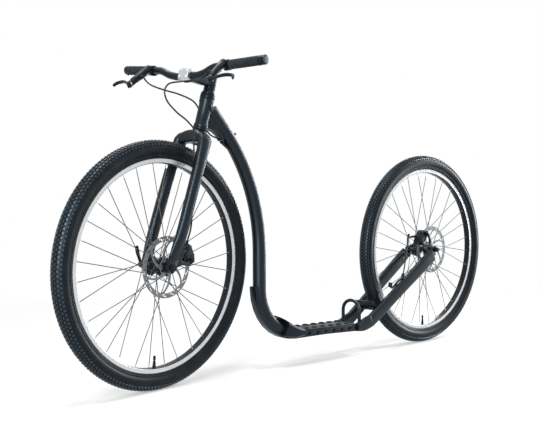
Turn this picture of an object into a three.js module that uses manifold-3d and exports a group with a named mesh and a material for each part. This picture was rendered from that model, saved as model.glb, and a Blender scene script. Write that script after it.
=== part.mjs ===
// Kick bike: a bent single-tube frame with a low deck between two 29 inch wheels,
// a fork with turning handlebar, and a hydraulic disc brake on each wheel.
// Millimetres and degrees. X points forward, Y to the rider's left, Z up, and the ground is at Z 0.
import * as THREE from "three";
import { mergeVertices, toCreasedNormals } from "three/addons/utils/BufferGeometryUtils.js";
import Module from "manifold-3d";

const wasm = await Module();
wasm.setup();

// Driving dimensions
const WHEELBASE = 1260;
const WHEEL_RADIUS = 364;
const TYRE_HALF_WIDTH = 26;
const HEAD_ANGLE = 73.5;
const FORK_RAKE = 40;
const STEER_ANGLE = 6.9;
const SPOKE_COUNT = 32;
const SPOKE_CROSSES = 3;
const ROTOR_RADIUS = 90;
const ROTOR_THICKNESS = 2;
const FRONT_DROPOUT_INNER = 50;
const REAR_DROPOUT_INNER = 55;
const ROTOR_INSET = 15.3;
const HEAD_TUBE_BOTTOM = 437;
const HEAD_TUBE_TOP = 527;
const MAIN_TUBE_RADIUS = 21.5;
const MAIN_TUBE_BORE = 18.5;
const UPPER_BEND_RADIUS = 560;
const LOWER_BEND_RADIUS = 150;
const DOWN_TUBE_X = 233;
const LOWER_BEND_Z = 270;
const DECK_FRONT = 65;
const DECK_REAR = -187;
const DECK_HALF_WIDTH = 50;
const DECK_TOP_FRONT = 124;
const DECK_TOP_REAR = 119;
const ARM_BEND_RADIUS = 130;
const ARM_HALF_HEIGHT = 23;
const ARM_HALF_WIDTH = 12;
const BAR_RADIUS = 11.1;
const GRIP_RADIUS = 13.8;
const HOSE_RADIUS = 2.5;
const GAP = 0.3;

const radians = THREE.MathUtils.degToRad;
const cosine = (degrees) => Math.cos(radians(degrees));
const sine = (degrees) => Math.sin(radians(degrees));
const point = (x, y, z) => new THREE.Vector3(x, y, z);
const blend = THREE.MathUtils.lerp;
const counted = (count, make) => Array.from({ length: count }, (_, i) => make(i));

// Solids

function solidOf(geometry) {
  const bare = geometry.index ? geometry.toNonIndexed() : geometry.clone();
  bare.deleteAttribute("normal");
  bare.deleteAttribute("uv");
  const merged = mergeVertices(bare, 1e-4);
  const triVerts = new Uint32Array(merged.index.array);
  const vertProperties = merged.attributes.position.array;
  const build = () => new wasm.Manifold(new wasm.Mesh({ numProp: 3, vertProperties, triVerts }));
  const made = build();
  if (made.volume() > 0) return made;
  for (let i = 0; i < triVerts.length; i += 3) {
    [triVerts[i], triVerts[i + 1]] = [triVerts[i + 1], triVerts[i]];
  }
  return build();
}

function geometryOf(solid) {
  const mesh = solid.getMesh();
  const positions = new THREE.BufferAttribute(new Float32Array(mesh.vertProperties), 3);
  const indexed = new THREE.BufferGeometry().setAttribute("position", positions);
  indexed.setIndex(new THREE.BufferAttribute(mesh.triVerts, 1));
  return indexed;
}

const join = (...solids) => solids.reduce((whole, next) => whole.add(next));
const cut = (body, ...tools) => tools.reduce((left, tool) => left.subtract(tool), body);
const largest = (solid) => solid.decompose().toSorted((a, b) => b.volume() - a.volume())[0];
const mirroredLeft = (solid) => solid.mirror([0, 1, 0]);
const between = (solid, from, to) => solid.transform(to.clone().invert().multiply(from).elements);

// Revolved profile of [radius, height] pairs about Z, or about Y when it is part of a wheel.
function turned(profile, segments, closed = true) {
  const points = profile.map(([radius, height]) => new THREE.Vector2(radius, height));
  if (closed) points.push(points[0].clone());
  return solidOf(new THREE.LatheGeometry(points, segments).rotateX(Math.PI / 2));
}

function wheelTurned(profile, segments) {
  const points = profile.map(([radius, across]) => new THREE.Vector2(radius, across));
  points.push(points[0].clone());
  return solidOf(new THREE.LatheGeometry(points, segments));
}

const flat = (pairs) => pairs.map(([a, b]) => new THREE.Vector2(a, b));
const circle = (radius, count, x = 0, y = 0) =>
  counted(count, (i) => {
    const angle = (i / count) * 2 * Math.PI;
    return [x + radius * Math.cos(angle), y + radius * Math.sin(angle)];
  });

function prism(outline, depth, holes = []) {
  const shape = new THREE.Shape(flat(outline));
  shape.holes = holes.map((hole) => new THREE.Path(flat(hole)));
  return new THREE.ExtrudeGeometry(shape, { depth, bevelEnabled: false });
}

// Plates by the plane of their outline: X and Z, Y and Z, or X and Y.
const sidePlate = (outline, y0, y1, holes) =>
  solidOf(prism(outline, y1 - y0, holes).rotateX(Math.PI / 2).translate(0, y1, 0));
const frontPlate = (outline, x0, x1) =>
  solidOf(prism(outline, x1 - x0).rotateX(Math.PI / 2).rotateZ(Math.PI / 2).translate(x0, 0, 0));
const topPlate = (outline, z0, z1) => solidOf(prism(outline, z1 - z0).translate(0, 0, z0));

function box(x0, x1, y0, y1, z0, z1) {
  const made = new THREE.BoxGeometry(x1 - x0, y1 - y0, z1 - z0);
  return solidOf(made.translate((x0 + x1) / 2, (y0 + y1) / 2, (z0 + z1) / 2));
}

function rod(from, to, radius, sides = 10, endRadius = radius) {
  const along = to.clone().sub(from);
  const made = new THREE.CylinderGeometry(endRadius, radius, along.length(), sides);
  const turn = new THREE.Quaternion().setFromUnitVectors(point(0, 1, 0), along.clone().normalize());
  const middle = from.clone().add(to).multiplyScalar(0.5);
  return solidOf(made.applyQuaternion(turn).translate(middle.x, middle.y, middle.z));
}

// Closed skin through rings of equally many points, its end rings filled.
function loft(rings) {
  const count = rings[0].length;
  const index = [];
  for (let ring = 0; ring < rings.length - 1; ring += 1) {
    for (let i = 0; i < count; i += 1) {
      const a = ring * count + i;
      const b = ring * count + ((i + 1) % count);
      index.push(a, b, a + count, b, b + count, a + count);
    }
  }
  const last = (rings.length - 1) * count;
  for (let i = 1; i < count - 1; i += 1) {
    index.push(0, i + 1, i, last, last + i, last + i + 1);
  }
  const positions = rings.flat().flatMap((p) => [p.x, p.y, p.z]);
  const skin = new THREE.BufferGeometry();
  skin.setAttribute("position", new THREE.Float32BufferAttribute(positions, 3));
  return solidOf(skin.setIndex(index));
}

// Ring of a flat oval section. A fullness under 1 squares its corners.
function oval(centre, across, up, halfAcross, halfUp, count, fullness = 0.75) {
  const swell = (value) => Math.sign(value) * Math.abs(value) ** fullness;
  return counted(count, (i) => {
    const angle = ((i + 0.5) / count) * 2 * Math.PI;
    return centre
      .clone()
      .addScaledVector(across, halfAcross * swell(Math.cos(angle)))
      .addScaledVector(up, halfUp * swell(Math.sin(angle)));
  });
}

// Tube along a curve.
function sweep(curve, radius, sides, steps) {
  const shape = new THREE.Shape(flat(circle(radius, sides)));
  return solidOf(new THREE.ExtrudeGeometry(shape, { extrudePath: curve, steps, bevelEnabled: false }));
}

const through = (points) => new THREE.CatmullRomCurve3(points, false, "centripetal");

// Scene graph: the frame is fixed, the steering group turns about the head tube's axis.

const kickBike = new THREE.Group();
const frontAxle = point(WHEELBASE / 2, 0, WHEEL_RADIUS);
const rearAxle = point(-WHEELBASE / 2, 0, WHEEL_RADIUS);
const headForward = point(sine(HEAD_ANGLE), 0, cosine(HEAD_ANGLE));

const headGroup = new THREE.Group();
headGroup.position.copy(frontAxle).addScaledVector(headForward, -FORK_RAKE);
headGroup.rotation.y = -radians(90 - HEAD_ANGLE);
kickBike.add(headGroup);

const steering = new THREE.Group();
steering.rotation.z = radians(STEER_ANGLE);
headGroup.add(steering);

const frontWheel = new THREE.Group();
frontWheel.position.x = FORK_RAKE;
frontWheel.rotation.y = radians(14);
steering.add(frontWheel);

const rearWheel = new THREE.Group();
rearWheel.position.copy(rearAxle);
kickBike.add(rearWheel);
kickBike.updateMatrixWorld(true);

const finishes = {
  paint: { color: 0x1d1f22, roughness: 0.42, metalness: 0.25 },
  anodised: { color: 0x17181a, roughness: 0.38, metalness: 0.6 },
  silver: { color: 0xc9ccd0, roughness: 0.3, metalness: 0.9 },
  steel: { color: 0xa9adb1, roughness: 0.32, metalness: 0.95 },
  spoke: { color: 0x8d9196, roughness: 0.35, metalness: 0.9 },
  tyre: { color: 0x1a1b1b, roughness: 0.9, metalness: 0 },
  butyl: { color: 0x232323, roughness: 0.8, metalness: 0 },
  grip: { color: 0x25282b, roughness: 0.85, metalness: 0 },
  hose: { color: 0x111213, roughness: 0.5, metalness: 0 },
  plug: { color: 0x9da3a6, roughness: 0.5, metalness: 0.1 },
  pad: { color: 0x6d5a45, roughness: 0.8, metalness: 0.2 },
};

function add(name, solid, finish, group = kickBike) {
  const shown = toCreasedNormals(geometryOf(solid), radians(32));
  const mesh = new THREE.Mesh(shown, new THREE.MeshStandardMaterial(finishes[finish]));
  mesh.name = name;
  group.add(mesh);
  return mesh;
}

// Head tube. Its outline is grown by a clearance when it cuts the pieces welded to it.

function headTubeOutline(clearance) {
  const narrow = 20.5 + clearance;
  const wide = 22.5 + clearance;
  return [
    [wide, HEAD_TUBE_BOTTOM - clearance],
    [wide, HEAD_TUBE_BOTTOM + 8],
    [narrow, HEAD_TUBE_BOTTOM + 12],
    [narrow, HEAD_TUBE_TOP - 16],
    [wide, HEAD_TUBE_TOP - 11],
    [wide, HEAD_TUBE_TOP + clearance],
  ];
}

const headBore = [
  [17.5, HEAD_TUBE_TOP],
  [17.5, HEAD_TUBE_BOTTOM],
];
add("head_tube", turned([...headTubeOutline(0), ...headBore], 16), "paint", headGroup);
const headCutter = between(
  turned([[0, HEAD_TUBE_BOTTOM - GAP], ...headTubeOutline(GAP), [0, HEAD_TUBE_TOP + GAP]], 16),
  headGroup.matrixWorld,
  kickBike.matrixWorld,
);

// Main tube: straight from the head tube, a wide bend, straight down, a tight bend into the deck.

const lowerBendX = DOWN_TUBE_X - LOWER_BEND_RADIUS;
const upperBendX = DOWN_TUBE_X + UPPER_BEND_RADIUS;
const upperBendZ = 393;
const UPPER_BEND_ANGLE = 41.5;
const TUBE_END_ANGLE = 12;

function tubePath(extra) {
  const start = 180 - UPPER_BEND_ANGLE;
  const end = TUBE_END_ANGLE - 90 - extra;
  const bendX = upperBendX + UPPER_BEND_RADIUS * cosine(start);
  const bendZ = upperBendZ + UPPER_BEND_RADIUS * sine(start);
  const reach = 100;
  const path = new THREE.Path();
  path.moveTo(bendX + reach * sine(start), bendZ - reach * cosine(start));
  path.lineTo(bendX, bendZ);
  path.absarc(upperBendX, upperBendZ, UPPER_BEND_RADIUS, radians(start), Math.PI, false);
  path.lineTo(DOWN_TUBE_X, LOWER_BEND_Z);
  path.absarc(lowerBendX, LOWER_BEND_Z, LOWER_BEND_RADIUS, 0, radians(end), true);
  return through(path.getSpacedPoints(60).map((p) => point(p.x, 0, p.y)));
}

const TUBE_STEPS = 20;
const tubeOutside = sweep(tubePath(0), MAIN_TUBE_RADIUS, 12, TUBE_STEPS);
const tubeInside = sweep(tubePath(0), MAIN_TUBE_BORE, 6, TUBE_STEPS - 4);
const tubeCutter = sweep(tubePath(0), MAIN_TUBE_RADIUS + 2 * GAP, 12, TUBE_STEPS);

// Port where the rear brake hose enters under the main tube.
const portOuter = point(388, 0, 733.7);
const portInner = point(358, 0, 713.7);
const portLine = (t) => portOuter.clone().lerp(portInner, t);
const boss = rod(point(331, 0, 762), point(341, 0, 754), 4.5, 8);
const portHole = rod(portLine(-0.2), portLine(2), 5.6, 8);
const mainTube = cut(join(tubeOutside, boss), tubeInside, headCutter, portHole);
add("main_tube", largest(mainTube), "paint");
const grommetHole = rod(portLine(-0.2), portLine(1.2), 3.1, 8);
add("hose_grommet", cut(rod(portOuter, portInner, 5, 8), grommetHole), "hose");

// Folded gusset in the corner between head tube and main tube.
const gussetTop = [
  [384, 744],
  [425, 824],
  [446, 822],
];
const gussetOutline = [[452, 773], [440, 769], [418, 763], [402, 752], [390, 736], ...gussetTop];
const gussetPocket = [[446, 774.5], [438, 772], [416, 766], [399, 754.5], [386, 738], ...gussetTop];
const gussetBody = cut(sidePlate(gussetOutline, -13, 13), sidePlate(gussetPocket, -10, 10));
const portSlot = rod(portLine(-0.5), portInner, 5.6, 8);
const gussetLeft = cut(gussetBody, tubeCutter, headCutter, portSlot);
add("head_gusset", largest(gussetLeft), "paint");

// Keel channel on the outer side of the lower bend, running on under the deck.

function bendPoint(degrees, radius, y = 0) {
  return point(lowerBendX + radius * sine(degrees), y, LOWER_BEND_Z - radius * cosine(degrees));
}

function keelPath(radius) {
  const bend = counted(9, (i) => bendPoint(blend(90, 0, i / 8), radius));
  const rear = point(-120, 0, LOWER_BEND_Z - radius - 1);
  return [point(DOWN_TUBE_X - LOWER_BEND_RADIUS + radius, 0, LOWER_BEND_Z + 8), ...bend, rear];
}

const keelOuter = keelPath(179).map((p) => [p.x, p.z]);
const keelInner = keelPath(LOWER_BEND_RADIUS + 12).map((p) => [p.x, p.z]);
const keelHollow = keelPath(176).map((p) => [p.x, p.z]);
const keelBlock = sidePlate([...keelOuter, ...keelInner.toReversed()], -15, 15);
const keelPocket = sidePlate([...keelHollow, ...keelInner.toReversed()], -12, 12);

// Deck nose: folded shell that widens from the main tube to the deck.

const noseStations = [
  { angle: -6.9, inner: 146, outer: 168, half: 50 },
  { angle: 8, inner: 134, outer: 173, half: 44 },
  { angle: 20, inner: 127, outer: 174, half: 35 },
  { angle: 34, inner: 127.5, outer: 174, half: 27 },
  { angle: 44, inner: 136, outer: 173, half: 24 },
];

function noseRing(station, wall) {
  const half = station.half - wall;
  const inner = station.inner + wall;
  const outer = station.outer - wall;
  const chamfer = station.half * 0.16;
  const corners = [
    [half, inner + chamfer],
    [half, outer - chamfer * 0.5],
    [half - chamfer, outer],
    [chamfer - half, outer],
    [-half, outer - chamfer * 0.5],
    [-half, inner + chamfer],
    [chamfer - half, inner],
    [half - chamfer, inner],
  ];
  return corners.map(([y, radius]) => bendPoint(station.angle, radius, y));
}

const noseShell = loft(noseStations.map((station) => noseRing(station, 0)));
const noseRoom = loft([
  noseRing({ ...noseStations[0], angle: -8 }, 3),
  ...noseStations.slice(1, 3).map((station) => noseRing(station, 3)),
]);
const keelClear = keelPath(190).map((p) => [p.x, p.z]);
const keelSlot = sidePlate([...keelClear, ...keelInner.toReversed()], -15.4, 15.4);
const behindNose = box(-60, DECK_FRONT, -60, 60, 80, 150);
add("deck_nose", largest(cut(noseShell, noseRoom, tubeCutter, keelSlot, behindNose)), "paint");

// Deck: a tray with slanted side slots under a plate with raised rims for grip.

const deckTop = (x) => blend(DECK_TOP_REAR, DECK_TOP_FRONT, (x - DECK_REAR) / (DECK_FRONT - DECK_REAR));
const PLATE_THICKNESS = 4;
const trayBottomFront = 102;
const trayBottomRear = 92;
const traySide = [
  [DECK_REAR, trayBottomRear],
  [DECK_FRONT - GAP, trayBottomFront],
  [DECK_FRONT - GAP, deckTop(DECK_FRONT) - PLATE_THICKNESS - GAP],
  [DECK_REAR, deckTop(DECK_REAR) - PLATE_THICKNESS - GAP],
];
const trayPocket = [
  [DECK_REAR - 1, trayBottomRear + 3],
  [DECK_FRONT + 1, trayBottomFront + 3],
  [DECK_FRONT + 1, 140],
  [DECK_REAR - 1, 140],
];
const SLOT_PITCH = 40;
const SLOT_COUNT = 6;
const sideSlots = counted(SLOT_COUNT, (i) => {
  const x = 54 - i * SLOT_PITCH;
  const z = deckTop(x) - 14.5;
  const outline = circle(1, 6).map(([a, b]) => [9.5 * a, 4.2 * b]);
  const slanted = outline.map(([a, b]) => [
    x - a * cosine(30) - b * sine(30),
    z + a * sine(30) - b * cosine(30),
  ]);
  return sidePlate(slanted, -DECK_HALF_WIDTH - 1, DECK_HALF_WIDTH + 1);
});
const trayBlock = sidePlate(traySide, -DECK_HALF_WIDTH, DECK_HALF_WIDTH);
const trayRoom = sidePlate(trayPocket, 3 - DECK_HALF_WIDTH, DECK_HALF_WIDTH - 3);
const tray = cut(trayBlock, trayRoom, ...sideSlots);
add("deck_tray", tray, "paint");

const trayClear = join(trayBlock, trayBlock.translate([0, 0, -GAP]));
const keelUnderDeck = cut(keelBlock, keelPocket, tubeCutter, trayClear);
add("keel_channel", largest(keelUnderDeck), "paint");

const plateSide = [
  [DECK_REAR, deckTop(DECK_REAR) - PLATE_THICKNESS],
  [DECK_FRONT - GAP, deckTop(DECK_FRONT) - PLATE_THICKNESS],
  [DECK_FRONT - GAP, deckTop(DECK_FRONT)],
  [DECK_REAR, deckTop(DECK_REAR)],
];
const RIM_ROWS = [
  { y: 33, first: 50 },
  { y: -33, first: 30 },
];
const gripRims = RIM_ROWS.flatMap((row) =>
  counted(SLOT_COUNT, (i) => {
    const x = row.first - i * SLOT_PITCH;
    const base = deckTop(x) - 1.5;
    return rod(point(x, row.y, base), point(x, row.y, base + 5.5), 10, 6, 6.5);
  }),
);
const plateSheet = sidePlate(plateSide, -DECK_HALF_WIDTH, DECK_HALF_WIDTH);
add("deck_plate", join(plateSheet, ...gripRims), "paint");

// Rear arms: flat oval tubes that rise from the deck to the rear axle.

const armBend = { x: -205, z: 110, radius: ARM_BEND_RADIUS };
const bendToAxle = point(armBend.x - rearAxle.x, 0, rearAxle.z - armBend.z - armBend.radius);
const ARM_SLOPE =
  THREE.MathUtils.radToDeg(
    Math.atan2(bendToAxle.z, bendToAxle.x) + Math.asin(armBend.radius / bendToAxle.length()),
  );
const armDirection = point(-cosine(ARM_SLOPE), 0, sine(ARM_SLOPE));
const armMiddleY = (x) => blend(46, 66, (-190 - x) / 400);
const ARM_END_BEFORE_AXLE = 34;

// The arm's front end is as low as the deck, and its end at the axle is taller than its middle.
function armStations() {
  const bend = [12, 23, ARM_SLOPE].map((angle) => ({
    x: armBend.x - armBend.radius * sine(angle),
    z: armBend.z + armBend.radius * (1 - cosine(angle)),
    angle,
    height: 1,
    width: 1,
  }));
  const end = rearAxle.clone().addScaledVector(armDirection, -ARM_END_BEFORE_AXLE);
  const flare = rearAxle.clone().addScaledVector(armDirection, -100);
  return [
    { x: DECK_REAR - GAP, z: 105, angle: 0, height: 0.63, width: 1 },
    { x: armBend.x - 8, z: 107.5, angle: 4, height: 0.86, width: 1 },
    ...bend,
    { x: flare.x, z: flare.z, angle: ARM_SLOPE, height: 1.1, width: 1 },
    { x: end.x, z: end.z, angle: ARM_SLOPE, height: 1.08, width: 0.78 },
  ];
}

function armLoft(halfWidth, halfHeight, count, overrun) {
  const rings = armStations().map((station, i, all) => {
    const up = point(sine(station.angle), 0, cosine(station.angle));
    const end = i === 0 ? overrun : i === all.length - 1 ? -overrun : 0;
    const centre = point(station.x + end, armMiddleY(station.x), station.z);
    const wide = halfWidth * station.width;
    const tall = halfHeight * station.height;
    return oval(centre, point(0, 1, 0), up, wide, tall, count, 0.7);
  });
  return loft(rings);
}

const armSolid = armLoft(ARM_HALF_WIDTH, ARM_HALF_HEIGHT, 10, 0);
const armRoom = armLoft(ARM_HALF_WIDTH - 2.5, ARM_HALF_HEIGHT - 2.5, 6, 3);
const armHoseExit = point(-435, 58, 283);
const hosePort = rod(point(-430, 58, 262), armHoseExit, 6.5, 8);
const hoseHole = rod(point(-421.4, 58, 230), point(-438.6, 58, 296), 3.3, 8);
const cableBoss = rod(point(-362, 54, 236), point(-366, 54, 255), 8, 8);
add("left_arm", largest(cut(join(armSolid, cableBoss, hosePort), armRoom, hoseHole)), "paint");
add("right_arm", mirroredLeft(armSolid), "paint");

// Bridge between the arms and the foot hoop in front of the rear wheel.

const bridgeOutline = counted(8, (i) => {
  const angle = (i / 8) * 2 * Math.PI;
  const a = 7 * Math.cos(angle);
  const b = 18 * Math.sin(angle);
  return [-287 + a * cosine(20) + b * sine(20), 172 - a * sine(20) + b * cosine(20)];
});
const armShadow = armLoft(ARM_HALF_WIDTH + GAP, ARM_HALF_HEIGHT + GAP, 10, 3);
const bridgeBar = cut(sidePlate(bridgeOutline, -60, 60), armShadow, mirroredLeft(armShadow));
add("rear_bridge", largest(bridgeBar), "paint");

const HOOP_X = -210;
const HOOP_LEG = 39;
const hoopPath = through([
  point(HOOP_X, -HOOP_LEG, 116),
  point(HOOP_X, -HOOP_LEG, 160),
  ...counted(7, (i) => {
    const angle = 180 - i * 30;
    return point(HOOP_X, HOOP_LEG * cosine(angle), 160 + 36 * sine(angle));
  }).slice(1, -1),
  point(HOOP_X, HOOP_LEG, 160),
  point(HOOP_X, HOOP_LEG, 116),
]);
const hoopShape = cut(sweep(hoopPath, 5, 6, 14), armShadow, mirroredLeft(armShadow));
add("foot_hoop", largest(hoopShape), "paint");

// Rear dropouts: slotted plates at the arm ends, the left one with the brake mount.

const alongArm = (a, b) => [
  rearAxle.x + a * cosine(ARM_SLOPE) + b * sine(ARM_SLOPE),
  rearAxle.z - a * sine(ARM_SLOPE) + b * cosine(ARM_SLOPE),
];
const slotCorners = [[-5.2, -30], [-5.2, 3], [-2.5, 5.4], [2.5, 5.4], [5.2, 3], [5.2, -30]];
const DROPOUT_THICKNESS = 6;
const dropoutEnd = ARM_END_BEFORE_AXLE - GAP;
const dropoutOutline = [
  alongArm(dropoutEnd, -19),
  alongArm(dropoutEnd, 19),
  ...counted(7, (i) => alongArm(-16 * sine(i * 30), 17 * cosine(i * 30))),
];
const dropoutInner = REAR_DROPOUT_INNER;
const dropoutOuter = REAR_DROPOUT_INNER + DROPOUT_THICKNESS;
const axleSlot = slotCorners.map(([a, b]) => alongArm(a, b));
const rearSlot = sidePlate(axleSlot, dropoutInner - 1, dropoutOuter + 1);
const plainDropout = cut(sidePlate(dropoutOutline, dropoutInner, dropoutOuter), rearSlot);
add("right_dropout", mirroredLeft(plainDropout), "paint");

const REAR_CALIPER_ANGLE = 35;
const FRONT_CALIPER_ANGLE = 138;
const CALIPER_RADIUS = 81;
const polar = (angle, radius, across = 0) => [
  radius * cosine(angle) - across * sine(angle),
  radius * sine(angle) + across * cosine(angle),
];
const onRear = ([a, b]) => [rearAxle.x + a, rearAxle.z + b];
const rearTab = [
  onRear(polar(REAR_CALIPER_ANGLE, 4, -14)),
  onRear(polar(REAR_CALIPER_ANGLE, 60, -30)),
  onRear(polar(REAR_CALIPER_ANGLE, 86, -32)),
  onRear(polar(REAR_CALIPER_ANGLE, 92, -24)),
  onRear(polar(REAR_CALIPER_ANGLE, 86, -15)),
  onRear(polar(REAR_CALIPER_ANGLE, 66, 0)),
  onRear(polar(REAR_CALIPER_ANGLE, 86, 15)),
  onRear(polar(REAR_CALIPER_ANGLE, 92, 24)),
  onRear(polar(REAR_CALIPER_ANGLE, 86, 30)),
  onRear(polar(REAR_CALIPER_ANGLE, 60, 28)),
  onRear(polar(REAR_CALIPER_ANGLE, 4, 14)),
];
const leftDropout = join(
  sidePlate(dropoutOutline, dropoutInner, dropoutOuter),
  sidePlate(rearTab, dropoutInner, dropoutOuter),
);
add("left_dropout", cut(leftDropout, rearSlot, armShadow), "paint");

// Headset

const cup = (low, high, floor) => [
  [20.4, low],
  [23, low],
  [23, high],
  [16, high],
  [16, floor],
  [20.4, floor],
];
add("lower_headset_cup", turned(cup(428.4, HEAD_TUBE_BOTTOM - GAP, 435), 12), "anodised", headGroup);
add("upper_headset_cup", turned(cup(539.7, HEAD_TUBE_TOP + GAP, 529), 12), "anodised", headGroup);
const bearing = (low, high) => [
  [15.1, low],
  [19.5, low],
  [19.5, high],
  [15.1, high],
];
add("lower_headset_bearing", turned(bearing(428.6, 434.6), 10), "steel", headGroup);
add("upper_headset_bearing", turned(bearing(529.4, 539.4), 10), "steel", headGroup);
const spacerOutline = [
  [15.2, 540],
  [22, 540],
  [22, 544],
  [17.5, 552],
  [17.5, 571.7],
  [15.2, 571.7],
];
add("headset_spacers", turned(spacerOutline, 12), "anodised", steering);

// Fork

const CROWN_LOW = 378;
const LEG_TOP = 384;
const crownHalf = [
  [0, CROWN_LOW + 9],
  [20, CROWN_LOW + 6],
  [35, CROWN_LOW],
  [35.5, LEG_TOP + GAP],
  [66, LEG_TOP + GAP],
  [66, 389],
  [60, 396],
  [36, 411],
  [24, 418],
];
const crownOutline = [...crownHalf, ...crownHalf.slice(1).map(([y, z]) => [-y, z]).toReversed()];
const aboveCrown = [
  [-5, CROWN_LOW + 41.5],
  [43, CROWN_LOW + 22.5],
  [43, CROWN_LOW + 60],
  [-5, CROWN_LOW + 60],
];
const crownBridge = cut(frontPlate(crownOutline, -4, 42), sidePlate(aboveCrown, -80, 80));
const crownBossOutline = [
  [0, CROWN_LOW + 9],
  [20, CROWN_LOW + 9],
  [20, 426],
  [15.5, 427.9],
  [14.3, 427.9],
  [14.3, 599],
  [0, 599],
];
const crownBoss = turned(crownBossOutline, 16, false);
const steererBore = rod(point(0, 0, 372), point(0, 0, 602), 11.8, 10);
add("fork_crown", cut(join(crownBridge, crownBoss), steererBore), "paint", steering);

const legStations = [
  { u: LEG_TOP, l: 52, f: 20, halfF: 24, halfL: 15 },
  { u: 310, l: 58, f: 25.5, halfF: 22, halfL: 13.5 },
  { u: 204, l: 60.5, f: 31, halfF: 21, halfL: 13 },
  { u: 110, l: 60.5, f: 34, halfF: 21, halfL: 12 },
  { u: 50, l: 57, f: 38, halfF: 20, halfL: 8.5 },
  { u: 20, l: 54.2, f: 40, halfF: 17, halfL: 4 },
];
const legLoft = loft(
  legStations.map((s) =>
    oval(point(s.f, s.l, s.u), point(1, 0, 0), point(0, 1, 0), s.halfF, s.halfL, 12),
  ),
);
const FORK_END = { inner: FRONT_DROPOUT_INNER, outer: FRONT_DROPOUT_INNER + 8 };
const forkEndOutline = [
  [FORK_RAKE - 17, 34],
  [FORK_RAKE - 17, 0],
  ...counted(5, (i) => [FORK_RAKE - 17 * cosine(36 * i + 18), -17 * sine(36 * i + 18)]),
  [FORK_RAKE + 17, 0],
  [FORK_RAKE + 17, 34],
];
const forkSlot = sidePlate(
  slotCorners.map(([a, b]) => [FORK_RAKE + a, b]),
  40,
  70,
);
const forkLeg = cut(join(legLoft, sidePlate(forkEndOutline, FORK_END.inner, FORK_END.outer)), forkSlot);
const onFront = ([a, b]) => [FORK_RAKE + a, b];
const frontTab = [
  [30, 14],
  onFront(polar(FRONT_CALIPER_ANGLE, 56, 30)),
  onFront(polar(FRONT_CALIPER_ANGLE, 80, 33)),
  onFront(polar(FRONT_CALIPER_ANGLE, 90, 27)),
  onFront(polar(FRONT_CALIPER_ANGLE, 86, 15)),
  onFront(polar(FRONT_CALIPER_ANGLE, 66, 0)),
  onFront(polar(FRONT_CALIPER_ANGLE, 86, -15)),
  onFront(polar(FRONT_CALIPER_ANGLE, 92, -24)),
  onFront(polar(FRONT_CALIPER_ANGLE, 88, -32)),
  [30, 118],
];
const brakeMount = sidePlate(frontTab.toReversed(), FRONT_DROPOUT_INNER, FRONT_DROPOUT_INNER + 6);
add("left_fork_leg", join(forkLeg, brakeMount), "paint", steering);
add("right_fork_leg", mirroredLeft(forkLeg), "paint", steering);

// Stem, faceplate and top cap

const barCentre = { f: 96, u: 562 };
const barBore = rod(point(barCentre.f, -40, barCentre.u), point(barCentre.f, 40, barCentre.u), 13, 16);
const stemRings = [
  { f: 2, u: 585.5, halfU: 13.5, halfL: 15 },
  { f: 30, u: 578, halfU: 17, halfL: 15.5 },
  { f: 72, u: 568, halfU: 15, halfL: 16 },
  { f: 95.5, u: 562, halfU: 19, halfL: 19.5 },
];
const stemBody = loft(
  stemRings.map((s) =>
    oval(point(s.f, 0, s.u), point(0, 1, 0), point(0.2, 0, 0.98), s.halfL, s.halfU, 12, 0.6),
  ),
);
const stemClamp = turned([[0, 572], [17.5, 572], [17.5, 599.7], [0, 599.7]], 14, false);
const spacerRoom = turned([[0, 540], [30, 540], [30, 572], [0, 572]], 8, false);
const steererHole = rod(point(0, 0, 560), point(0, 0, 610), 14.7, 16);
const faceplateRoom = box(96.7, 130, -30, 30, 530, 600);
const stemSolid = cut(join(stemBody, stemClamp), spacerRoom, steererHole, barBore, faceplateRoom);
add("stem", stemSolid, "paint", steering);

const faceOutline = [
  [97, 544],
  [108, 544.5],
  [115.5, 551],
  [115.5, 576],
  [108, 582.5],
  [97, 583],
];
add("stem_faceplate", cut(sidePlate(faceOutline, -20, 20), barBore), "silver", steering);
const capOutline = [
  [0, 600],
  [17, 600],
  [17, 603.5],
  [15, 605.5],
  [0, 605.5],
];
add("top_cap", turned(capOutline, 14, false), "anodised", steering);

// Handlebar

const barSlopeStart = point(101, 115, 583);
const barTip = point(88.5, 286, 599);
const barDirection = barTip.clone().sub(barSlopeStart).normalize();
const onBar = (l) => barSlopeStart.clone().addScaledVector(barDirection, (l - 115) / barDirection.y);
const barHalf = [
  { at: point(96, 0, 562), radius: 12.6 },
  { at: point(96, 24, 562), radius: 12.6 },
  { at: point(96, 34, 562), radius: BAR_RADIUS },
  { at: point(96.5, 48, 563), radius: BAR_RADIUS },
  { at: point(99, 75, 568.5), radius: BAR_RADIUS },
  { at: point(101.2, 98, 577.5), radius: BAR_RADIUS },
  { at: onBar(122), radius: BAR_RADIUS },
  { at: barTip, radius: BAR_RADIUS },
];
const mirrorPoint = (p) => point(p.x, -p.y, p.z);
const barStations = [
  ...barHalf.slice(1).toReversed().map((s) => ({ at: mirrorPoint(s.at), radius: s.radius })),
  ...barHalf,
];
const barRings = barStations.map((station, i, all) => {
  const before = all[Math.max(i - 1, 0)].at;
  const after = all[Math.min(i + 1, all.length - 1)].at;
  const along = after.clone().sub(before).normalize();
  const across = point(1, 0, 0).addScaledVector(along, -along.x).normalize();
  const up = along.clone().cross(across);
  return oval(station.at, across, up, station.radius, station.radius, 10, 1);
});
add("handlebar", loft(barRings), "anodised", steering);

// Grips, lock rings and end plugs follow the straight end of the bar.

function alongBar(profile, sides, closed = true) {
  const turn = new THREE.Quaternion().setFromUnitVectors(point(0, 0, 1), barDirection);
  const place = new THREE.Matrix4().compose(onBar(0), turn, point(1, 1, 1));
  const bar = profile.map(([radius, l]) => [radius, l / barDirection.y]);
  return turned(bar, sides, closed).transform(place.elements);
}

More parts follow.
